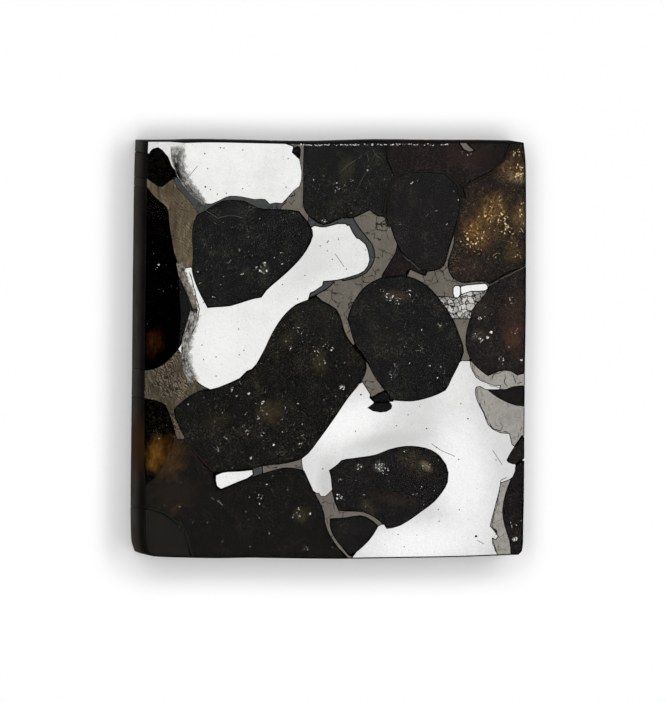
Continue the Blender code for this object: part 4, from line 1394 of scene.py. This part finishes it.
CRYSTALS = (
    Crystal("olivine_upper_oval", "oval veil", spots=(
        Spot(-5.90, 6.25, 0.35, 12, 0.14), Spot(-5.90, 6.65, 0.15, 6, 0.16), Spot(-6.45, 6.40, 0.10, 4, 0.10),
        Spot(-7.60, 5.85, 0.10, 4, 0.10), Spot(-4.40, 6.70, 0.10, 3, 0.10), Spot(-4.50, 7.45, 0.12, 4, 0.10),
        Spot(-7.85, 7.70, 0.10, 4, 0.10), Spot(-8.65, 6.80, 0.15, 4, 0.07), Spot(-11.15, 6.05, 0.05, 3, 0.10),
        Spot(-9.85, 4.05, 0.12, 4, 0.08), Spot(-10.9, 5.2, 0.12, 3, 0.06)), dust=2.8),
    Crystal("olivine_middle_round", "middle veil", spots=(
        Spot(8.10, -2.10, 0.06, 3, 0.10), Spot(7.45, -1.15, 0.08, 3, 0.10), Spot(8.40, -1.25, 0.08, 3, 0.10),
        Spot(6.60, 0.15, 0.3, 7, 0.09), Spot(6.80, 1.60, 0.05, 3, 0.10), Spot(4.15, 4.10, 0.35, 16, 0.11),
        Spot(4.85, 3.85, 0.35, 12, 0.10), Spot(5.80, 4.45, 0.3, 8, 0.09), Spot(8.25, 1.95, 0.2, 6, 0.08),
        Spot(5.50, 0.40, 0.2, 5, 0.06), Spot(4.55, 0.00, 0.2, 5, 0.06), Spot(3.55, 4.60, 0.2, 6, 0.07),
        Spot(4.6, -1.8, 0.35, 12, 0.08), Spot(4.9, -1.1, 0.3, 8, 0.08)), dust=3.4),
    Crystal("olivine_lower_oval", "lower oval veil", spots=(
        Spot(3.60, -8.85, 0.45, 26, 0.12), Spot(4.05, -9.25, 0.3, 12, 0.10), Spot(2.00, -8.95, 0.25, 8, 0.09),
        Spot(0.40, -11.25, 0.25, 14, 0.12), Spot(2.40, -11.10, 0.1, 4, 0.10), Spot(6.45, -11.00, 0.2, 6, 0.08),
        Spot(6.95, -10.55, 0.1, 4, 0.10), Spot(5.60, -7.70, 0.1, 3, 0.08), Spot(0.45, -10.00, 0.2, 5, 0.06),
        Spot(7.3, -8.85, 0.35, 8, 0.08)), dust=2.6),
    Crystal("olivine_big_diagonal", "diagonal veil", "dark olivine", spots=(
        Spot(-6.95, -3.30, 0.10, 5, 0.14), Spot(-7.90, -3.55, 0.10, 3, 0.08), Spot(-5.80, -4.00, 0.15, 8, 0.12),
        Spot(-5.50, -4.85, 0.10, 3, 0.08), Spot(-6.30, -5.10, 0.25, 8, 0.10), Spot(-4.00, -4.40, 0.1, 3, 0.10),
        Spot(-3.00, -4.00, 0.10, 4, 0.10), Spot(-7.40, -5.70, 0.15, 4, 0.08), Spot(-8.10, -6.00, 0.15, 4, 0.08),
        Spot(-7.05, -6.25, 0.20, 6, 0.10), Spot(-5.80, -6.45, 0.20, 5, 0.08), Spot(-4.90, -7.25, 0.07, 6, 0.15),
        Spot(-6.65, -8.25, 0.08, 6, 0.14), Spot(-2.75, -7.25, 0.20, 6, 0.10), Spot(-2.50, -6.55, 0.15, 5, 0.08),
        Spot(0.50, -2.85, 0.20, 12, 0.13), Spot(-11.75, -4.15, 0.1, 3, 0.10), Spot(-9.35, -7.65, 0.2, 8, 0.09),
        Spot(-8.75, -6.70, 0.15, 5, 0.08), Spot(-3.70, 0.00, 0.3, 8, 0.08), Spot(-2.95, 1.55, 0.3, 8, 0.08),
        Spot(-1.50, -0.15, 0.3, 8, 0.08), Spot(-1.15, -0.90, 0.3, 8, 0.08), Spot(-0.85, 0.40, 0.3, 6, 0.08),
        Spot(-0.4, 0.1, 0.15, 5, 0.12), Spot(-5.90, -4.45, 0.3, 6, 0.08), Spot(-8.4, -1.6, 0.2, 6, 0.10),
        Spot(-8.2, -3.0, 0.2, 6, 0.10), Spot(-7.8, -2.4, 0.3, 8, 0.07)), dust=5.0),
    Crystal("olivine_upper_round", "upper round veil", spots=(
        Spot(5.85, 12.85, 0.10, 5, 0.10), Spot(9.20, 12.25, 0.05, 4, 0.08), Spot(9.55, 11.55, 0.05, 4, 0.08),
        Spot(8.60, 9.70, 0.2, 4, 0.06), Spot(7.2, 10.5, 0.25, 6, 0.06)), dust=2.2),
    Crystal("olivine_top_middle", "top veil", spots=(
        Spot(-0.25, 12.55, 0.35, 12, 0.09), Spot(-1.15, 9.95, 0.15, 6, 0.11), Spot(2.30, 13.85, 0.05, 4, 0.14),
        Spot(0.50, 12.70, 0.2, 4, 0.07), Spot(1.05, 13.10, 0.15, 4, 0.08)), dust=2.8),
    Crystal("olivine_top_red", "top red veil", "red-brown olivine", spots=(
        Spot(9.80, 15.20, 0.1, 3, 0.08), Spot(10.2, 15.0, 0.1, 2, 0.10)), dust=0.9),
    Crystal("olivine_amber_corner", "amber veil", "amber olivine", GOLD, (
        Spot(14.20, 15.20, 0.35, 16, 0.13), Spot(14.40, 13.40, 0.30, 22, 0.15), Spot(13.60, 14.20, 0.6, 16, 0.09),
        Spot(13.40, 9.65, 0.7, 22, 0.11), Spot(14.75, 11.25, 0.15, 5, 0.12), Spot(14.85, 9.80, 0.15, 5, 0.12),
        Spot(14.65, 9.25, 0.15, 5, 0.12), Spot(11.45, 8.70, 0.6, 20, 0.10), Spot(10.15, 8.25, 0.4, 10, 0.10),
        Spot(11.10, 7.70, 0.4, 10, 0.11), Spot(12.45, 10.55, 0.8, 30, 0.10), Spot(12.65, 7.40, 0.3, 8, 0.09),
        Spot(12.90, 11.55, 0.4, 12, 0.09), Spot(14.15, 8.45, 0.5, 10, 0.09), Spot(14.40, 7.30, 0.3, 8, 0.09),
        Spot(12.30, 10.40, 1.1, 30, 0.20), Spot(10.90, 8.80, 0.9, 22, 0.20), Spot(14.70, 10.60, 0.35, 10, 0.20),
        Spot(14.30, 13.80, 0.6, 14, 0.20), Spot(13.50, 9.30, 0.6, 12, 0.18)), 5.0),
    Crystal("olivine_small_red", "small red veil", "red-brown olivine", dust=1.0),
    Crystal("olivine_right_edge", "right veil", "amber olivine", spots=(
        Spot(12.35, 1.40, 0.06, 8, 0.20), Spot(12.05, 1.00, 0.09, 8, 0.18), Spot(11.55, 0.85, 0.2, 10, 0.12),
        Spot(11.05, 1.15, 0.2, 6, 0.09), Spot(11.85, 2.60, 0.03, 2, 0.08), Spot(14.80, -0.75, 0.08, 5, 0.15),
        Spot(11.3, 2.3, 0.3, 10, 0.08), Spot(14.00, 3.85, 0.3, 8, 0.09), Spot(14.25, 1.55, 0.3, 6, 0.07),
        Spot(13.2, -0.8, 0.3, 8, 0.10)), dust=3.2),
    Crystal("olivine_left_edge", "left veil", spots=(
        Spot(-14.25, 6.55, 0.1, 5, 0.10), Spot(-14.40, 6.30, 0.1, 3, 0.06)), dust=0.8),
    Crystal("olivine_top_left", "left veil", dust=0.5),
    Crystal("olivine_right_strip", "wedge veil", dust=1.0),
    Crystal("olivine_right_wedge", "wedge veil", dust=0.6),
    Crystal("olivine_right_lens", "wedge veil", spots=(
        Spot(14.55, -14.55, 0.22, 12, 0.16), Spot(15.05, -13.15, 0.1, 4, 0.12), Spot(14.4, -13.4, 0.3, 8, 0.08)),
            dust=1.4),
    Crystal("olivine_bottom_wedge", "wedge veil", dust=1.6),
    Crystal("olivine_bottom_left", "plain veil", dust=0.8),
    Crystal("olivine_lower_left", "lower left veil", "dark olivine", spots=(
        Spot(-5.40, -10.25, 0.05, 5, 0.12), Spot(-5.95, -11.25, 0.2, 5, 0.10), Spot(-9.65, -11.25, 0.15, 4, 0.07),
        Spot(-9.15, -11.65, 0.15, 4, 0.07), Spot(-2.80, -12.15, 0.1, 5, 0.10), Spot(-1.90, -12.55, 0.07, 6, 0.14),
        Spot(-2.95, -12.65, 0.3, 9, 0.08), Spot(-3.35, -12.80, 0.1, 3, 0.08), Spot(-5.20, -14.00, 0.1, 3, 0.08),
        Spot(-2.20, -15.25, 0.2, 6, 0.09), Spot(-5.95, -11.80, 0.1, 4, 0.08), Spot(-8.85, -14.65, 0.1, 3, 0.06)),
            dust=2.2),
    Crystal("olivine_top_chip", "left veil", dust=0.0),
    Crystal("olivine_drop", "left veil", dust=0.0),
)

METAL_MARKS = {
    "metal_lower_right": Pits(
        ((2.00, -3.40, 0.16), (5.80, -4.95, 0.10), (7.30, -6.00, 0.12), (10.60, -5.25, 0.14), (6.70, -4.30, 0.08),
         (-0.95, -9.10, 0.12), (11.40, -14.30, 0.22), (5.15, -14.15, 0.10), (6.65, -14.20, 0.08),
         (5.65, -15.10, 0.10)),
        (((7.70, -7.15), (8.50, -7.70)), ((8.50, -7.70), (9.60, -8.15)), ((12.60, -7.65), (13.40, -8.80)),
         ((11.50, -14.60), (12.05, -14.90)))),
    "metal_middle_band": Pits(
        ((-0.80, 8.40, 0.12), (-0.85, 7.65, 0.10), (0.00, 8.65, 0.08), (-0.45, 7.00, 0.10)),
        (((-0.25, 7.45), (0.50, 6.45)),)),
    "metal_top": Pits(
        ((-9.50, 15.55, 0.12), (-10.75, 15.10, 0.12), (-10.65, 12.55, 0.16), (-10.25, 12.35, 0.10),
         (-9.70, 12.00, 0.12)),
        (((-11.30, 14.15), (-11.95, 13.40)),)),
}

THREADS = (
    Thread("oval_healed_crack", "olivine_upper_oval", "grey film",
           ((-10.9, 10.9), (-10.55, 10.70), (-9.65, 10.15), (-8.55, 10.40), (-7.6, 10.2)), 0.05),
    Thread("oval_lens_left", "olivine_upper_oval", "grey film",
           ((-7.6, 10.2), (-7.2, 10.7), (-6.6, 11.0)), 0.04, kept=0.8),
    Thread("top_crack_long", "olivine_top_middle", "grey film",
           ((2.30, 15.6), (2.30, 14.80), (2.30, 13.85), (1.7, 12.9), (1.4, 12.2)), 0.045, kept=0.85),
    Thread("top_crack_right", "olivine_top_middle", "grey film",
           ((2.6, 15.5), (2.95, 15.00), (3.75, 14.35)), 0.045, kept=0.85),
    Thread("top_crack_left", "olivine_top_middle", "grey film",
           ((0.1, 13.7), (0.55, 14.15), (1.65, 14.85), (2.3, 15.2)), 0.04, kept=0.8),
    Thread("round_crack_a", "olivine_middle_round", "grey film",
           ((4.4, -2.3), (4.65, -1.6), (5.0, -1.1)), 0.05, kept=0.7),
    Thread("round_crack_b", "olivine_middle_round", "grey film",
           ((5.0, -0.4), (5.15, 0.8), (5.5, 2.0), (5.9, 3.2)), 0.03, kept=0.5),
    Thread("amber_film", "olivine_amber_corner", "grey film", (
        (12.00, 4.90), (13.00, 5.47), (14.20, 6.07), (15.0, 6.45)), 0.06, -0.01, kept=0.8),
    Thread("small_red_film", "olivine_small_red", "grey film", ((5.20, 7.30), (6.65, 6.15)), 0.05, -0.01),
    Thread("bottom_left_film", "olivine_bottom_left", "grey film", (
        (-14.75, -12.15), (-13.45, -12.50), (-12.50, -13.25), (-11.60, -14.35), (-11.35, -15.65)),
           0.035, -0.005, kept=0.55),
    Thread("lower_left_film", "olivine_big_diagonal", "red film", (
        (-12.35, -6.70), (-11.10, -8.15), (-10.00, -9.50)), 0.05, -0.005, kept=0.75),
    Thread("seam_upper_round", "olivine_upper_round", "olivine seam", (
        (4.10, 9.48), (3.80, 9.99), (3.65, 10.65), (3.75, 11.56), (4.05, 12.72), (4.62, 13.39), (5.24, 13.70),
        (7.25, 13.80), (8.52, 13.65), (9.60, 12.67), (9.80, 11.00), (9.45, 9.39), (9.28, 8.90)), 0.24, 0.0, 0.004),
    Thread("seam_top_middle", "olivine_top_middle", "olivine seam", (
        (4.50, 13.35), (4.44, 13.57), (3.95, 14.67), (3.84, 15.90)), 0.24, 0.0, 0.004),
    Thread("seam_top_red", "olivine_top_red", "brown seam", (
        (9.95, 12.40), (10.53, 12.90), (12.13, 13.65), (13.24, 14.77), (13.74, 15.90)), 0.24, 0.0, 0.004),
    Thread("seam_big_diagonal", "olivine_big_diagonal", "brown seam", (
        (-12.00, -6.82), (-11.10, -7.90), (-9.66, -9.31)), 0.24, 0.0, 0.004),
    Thread("seam_bottom_left", "olivine_bottom_left", "olivine seam", (
        (-14.74, -12.10), (-13.52, -12.45), (-12.47, -13.21), (-11.86, -13.78), (-11.35, -15.35),
        (-11.25, -15.80)), 0.24, 0.0, 0.004),
    Thread("bar_line", "metal_middle_band", "black crack", (
        (-11.83, 6.00), (-11.62, 5.38), (-11.41, 4.62), (-11.19, 3.85), (-10.95, 3.23), (-11.24, 1.95),
        (-11.52, 1.30)), 0.07, -0.02, 0.02, 0.95),
    Thread("shard_rim", "troilite_right_shard", "black crack", (
        (10.84, -0.9), (10.98, -1.6), (11.5, -2.12), (12.4, -2.7), (13.16, -2.85)), 0.05, -0.005, 0.03, 0.85),
    Thread("shard_crack_peak", "troilite_right_shard", "black crack", (
        (12.35, -2.25), (12.65, -1.85), (13.3, -1.65), (13.75, -1.5)), 0.06, -0.005, 0.04, 0.9),
    Thread("shard_crack_a", "troilite_right_shard", "black crack", (
        (13.35, -1.7), (13.55, -2.1), (13.45, -2.5), (13.75, -2.8)), 0.07, -0.005, 0.06, 0.9),
    Thread("shard_crack_b", "troilite_right_shard", "black crack", (
        (14.0, -1.75), (14.3, -2.2), (14.4, -2.6), (14.9, -2.5)), 0.07, -0.005, 0.06, 0.9),
    Thread("plate_holes_rim", "troilite_right_plate", "black crack", (
        (11.27, -2.9), (11.36, -3.56), (11.60, -4.28), (11.88, -4.82), (12.14, -5.36), (12.46, -5.83),
        (12.75, -6.05), (13.25, -6.22), (13.9, -6.28)), 0.07, -0.005, 0.02, 0.88),
    Thread("plate_holes_inner", "troilite_right_plate", "black crack", (
        (11.65, -3.1), (11.75, -3.8), (12.0, -4.4), (12.3, -5.0), (12.65, -5.5), (13.1, -5.85)),
           0.10, -0.005, 0.10, 0.45),
    Thread("plate_crack_right", "troilite_right_plate", "black crack", (
        (15.0, -5.9), (14.75, -6.3), (14.6, -6.7)), 0.06, -0.005, 0.03, 0.95),
    Thread("strip_crack", "troilite_right_strip", "black crack", (
        (13.85, -9.75), (13.3, -10.0), (13.22, -10.6), (13.0, -12.0), (12.68, -13.2), (12.66, -13.5)),
           0.06, -0.005, 0.03, 0.95),
    Thread("strip_notch", "troilite_right_strip", "black crack", (
        (12.66, -13.5), (13.05, -13.95), (12.95, -14.2)), 0.14, -0.005, 0.03, 1.0),
    Thread("strip_rim", "troilite_right_strip", "black crack", (
        (12.85, -14.3), (12.70, -14.7), (12.95, -15.4), (13.1, -15.7)), 0.05, -0.005, 0.02, 1.0),
)
# The scuffs lie on the rolled-off rims: part streaky burr, part painted shade where the rims reflect dark.
SCUFFS = {
    "metal_top": (
        Scuff("top_scuff_inner", "metal_top", "grey scuff and rim shade", (
            (-12.75, 15.75), (-12.72, 14.60), (-12.38, 13.60), (-11.85, 12.75), (-11.15, 11.95), (-10.55, 11.30)),
              1.45, 0.50),
        Scuff("top_scuff_rim", "metal_top", "dark scuff and rim shade", (
            (-13.00, 14.6), (-12.80, 13.7), (-12.35, 12.85), (-11.7, 12.1), (-11.0, 11.5), (-10.5, 11.15)),
              0.45, 0.30)),
    "metal_middle_band": (
        Scuff("bar_scuff", "metal_middle_band", "shadow scuff", (
            (-12.50, 6.9), (-12.28, 5.9), (-11.88, 5.0), (-11.48, 4.1), (-11.12, 3.1)), 0.90, 0.62),
        Scuff("band_scuff", "metal_middle_band", "dark scuff and rim shade", (
            (-11.22, 3.1), (-11.47, 1.9), (-11.82, 0.8), (-11.95, -0.5), (-11.65, -1.6), (-11.1, -2.5)), 1.05, 0.95)),
}
CHIPS = (
    EdgeChips("upper_edge_chips", "olivine_top_middle", ((-3.2, 15.78), (0.5, 15.80), (4.4, 15.82)), 60, 0.11),
    EdgeChips("upper_edge_chips_right", "olivine_top_red", ((4.4, 15.84), (8.8, 15.84)), 22, 0.10),
)


@dataclass(frozen=True)
class Studio:
    """Camera, floor and lights."""

    lean_right: float = math.radians(16.2)
    lean_up: float = math.radians(3.0)
    distance: float = 2.0
    picture_height: float = 53.86 * MM
    shift_right: float = -4.0 / 13.0 * MM
    shift_up: float = -0.5 / 13.0 * MM
    ring: tuple[float, float, float] = (0.76, 0.60, 1.2)
    lamps: int = 10
    card_sides: tuple[float, float] = (-0.06, 0.194)
    card_ends: tuple[float, float] = (-0.30, -0.0325)

    def build(self) -> None:
        """Set up the whole studio."""
        self.build_camera()
        self.build_floor()
        self.build_light()
        self.build_card()
        self.build_world()
        bpy.context.scene.view_settings.view_transform = "Standard"

    def build_camera(self) -> None:
        """Place the camera at the photograph's viewing angle."""
        back = Vector((-math.sin(self.lean_right) * math.cos(self.lean_up), math.sin(self.lean_up),
                       math.cos(self.lean_right) * math.cos(self.lean_up)))
        right = Vector((1, 0, 0)) - back * back.x
        right.normalize()
        up = back.cross(right)
        data = bpy.data.cameras.new("camera")
        data.sensor_width = 36.0
        data.lens = 36.0 * self.distance / self.picture_height
        data.clip_start = 0.05
        data.clip_end = 50.0
        camera = bpy.data.objects.new("camera", data)
        bpy.context.scene.collection.objects.link(camera)
        aim = Vector((0, 0, FACE_HEIGHT)) + right * self.shift_right + up * self.shift_up
        turn = Matrix((right, up, back)).transposed().to_4x4()
        camera.matrix_world = Matrix.Translation(aim + back * self.distance) @ turn
        bpy.context.scene.camera = camera

    def build_floor(self) -> None:
        """Make the pale floor."""
        bpy.ops.object.select_all(action="DESELECT")
        bpy.ops.mesh.primitive_plane_add(size=6.0, location=(0, 0, -0.00002))
        floor = bpy.context.object
        floor.name = "floor"
        bpy.ops.object.transform_apply(location=True)
        material, graph, shader = start_material("pale floor")
        tone = graph.noise(graph.place(), 3.0, 3.0)
        graph.feed(shader.inputs["Base Color"],
                   graph.mix(graph.step(tone, 0.3, 0.7), rgba((0.90, 0.90, 0.90)), rgba((0.92, 0.92, 0.915))))
        shader.inputs["Roughness"].default_value = 0.9
        shader.inputs["Specular IOR Level"].default_value = 0.0
        floor.data.materials.append(material)

    def build_light(self) -> None:
        """Hang a ring of round soft lights overhead. They light, and the white room is what mirrors show."""
        wide, deep, high = self.ring
        for i in range(self.lamps):
            turn = 2 * math.pi * (i + 0.5) / self.lamps
            data = bpy.data.lights.new("overhead", "AREA")
            data.shape = "DISK"
            data.size = 0.46
            data.energy = 2.47
            light = bpy.data.objects.new("overhead", data)
            light.location = (wide * math.cos(turn), 0.18 + deep * math.sin(turn), high)
            light.rotation_euler = (-Vector(light.location)).to_track_quat("-Z", "Y").to_euler()
            light.visible_glossy = False
            light.visible_transmission = False
            light.visible_camera = False
            bpy.context.scene.collection.objects.link(light)

    def build_card(self) -> None:
        """Hang a dark card that only mirrors see, left of the flat face's reflection."""
        near, far = self.card_sides
        foot, head = self.card_ends
        bpy.ops.object.select_all(action="DESELECT")
        bpy.ops.mesh.primitive_plane_add(size=1.0, location=((near + far) / 2, (foot + head) / 2, 1.0))
        card = bpy.context.object
        card.name = "dark_card"
        bpy.ops.transform.resize(value=(far - near, head - foot, 1.0))
        bpy.ops.object.transform_apply(location=True, scale=True)
        material, graph, shader = start_material("dark card")
        shader.inputs["Base Color"].default_value = rgba((0.02, 0.02, 0.02))
        shader.inputs["Specular IOR Level"].default_value = 0.0
        card.data.materials.append(material)
        card.visible_camera = False
        card.visible_diffuse = False
        card.visible_shadow = False
        card.visible_transmission = False

    def build_world(self) -> None:
        """Surround the slice with a white room."""
        world = bpy.data.worlds.new("white room")
        world.use_nodes = True
        world.node_tree.nodes["Background"].inputs["Color"].default_value = rgba((1.0, 1.0, 1.0))
        world.node_tree.nodes["Background"].inputs["Strength"].default_value = 1.0
        world.cycles_visibility.diffuse = False
        bpy.context.scene.world = world


def main() -> None:
    """Build the slice and its studio, in order."""
    logging.basicConfig(level=logging.INFO, format="%(name)s: %(message)s")
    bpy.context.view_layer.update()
    palette = Palette(Effects())
    for mineral, nodes in GRAINS.items():
        for node, polished in nodes.items():
            piece = Grain(node, polished, SAWN.get(mineral, "sawn sulphide")).build(palette)
            if node in METAL_MARKS:
                METAL_MARKS[node].cut(piece, palette)
            for scuff in SCUFFS.get(node, ()):
                scuff.build(piece, palette)
            LOG.info("%s", node)
    flake = Flake()
    for seed, crystal in enumerate(CRYSTALS):
        crystal.build(flake, palette, seed)
        LOG.info("%s", crystal.node)
    for chips in CHIPS:
        chips.build(flake, palette)
    flake.drop()
    for thread in THREADS:
        thread.build(palette)
        LOG.info("%s", thread.name)
    Studio().build()


if __name__ == "__main__":
    main()
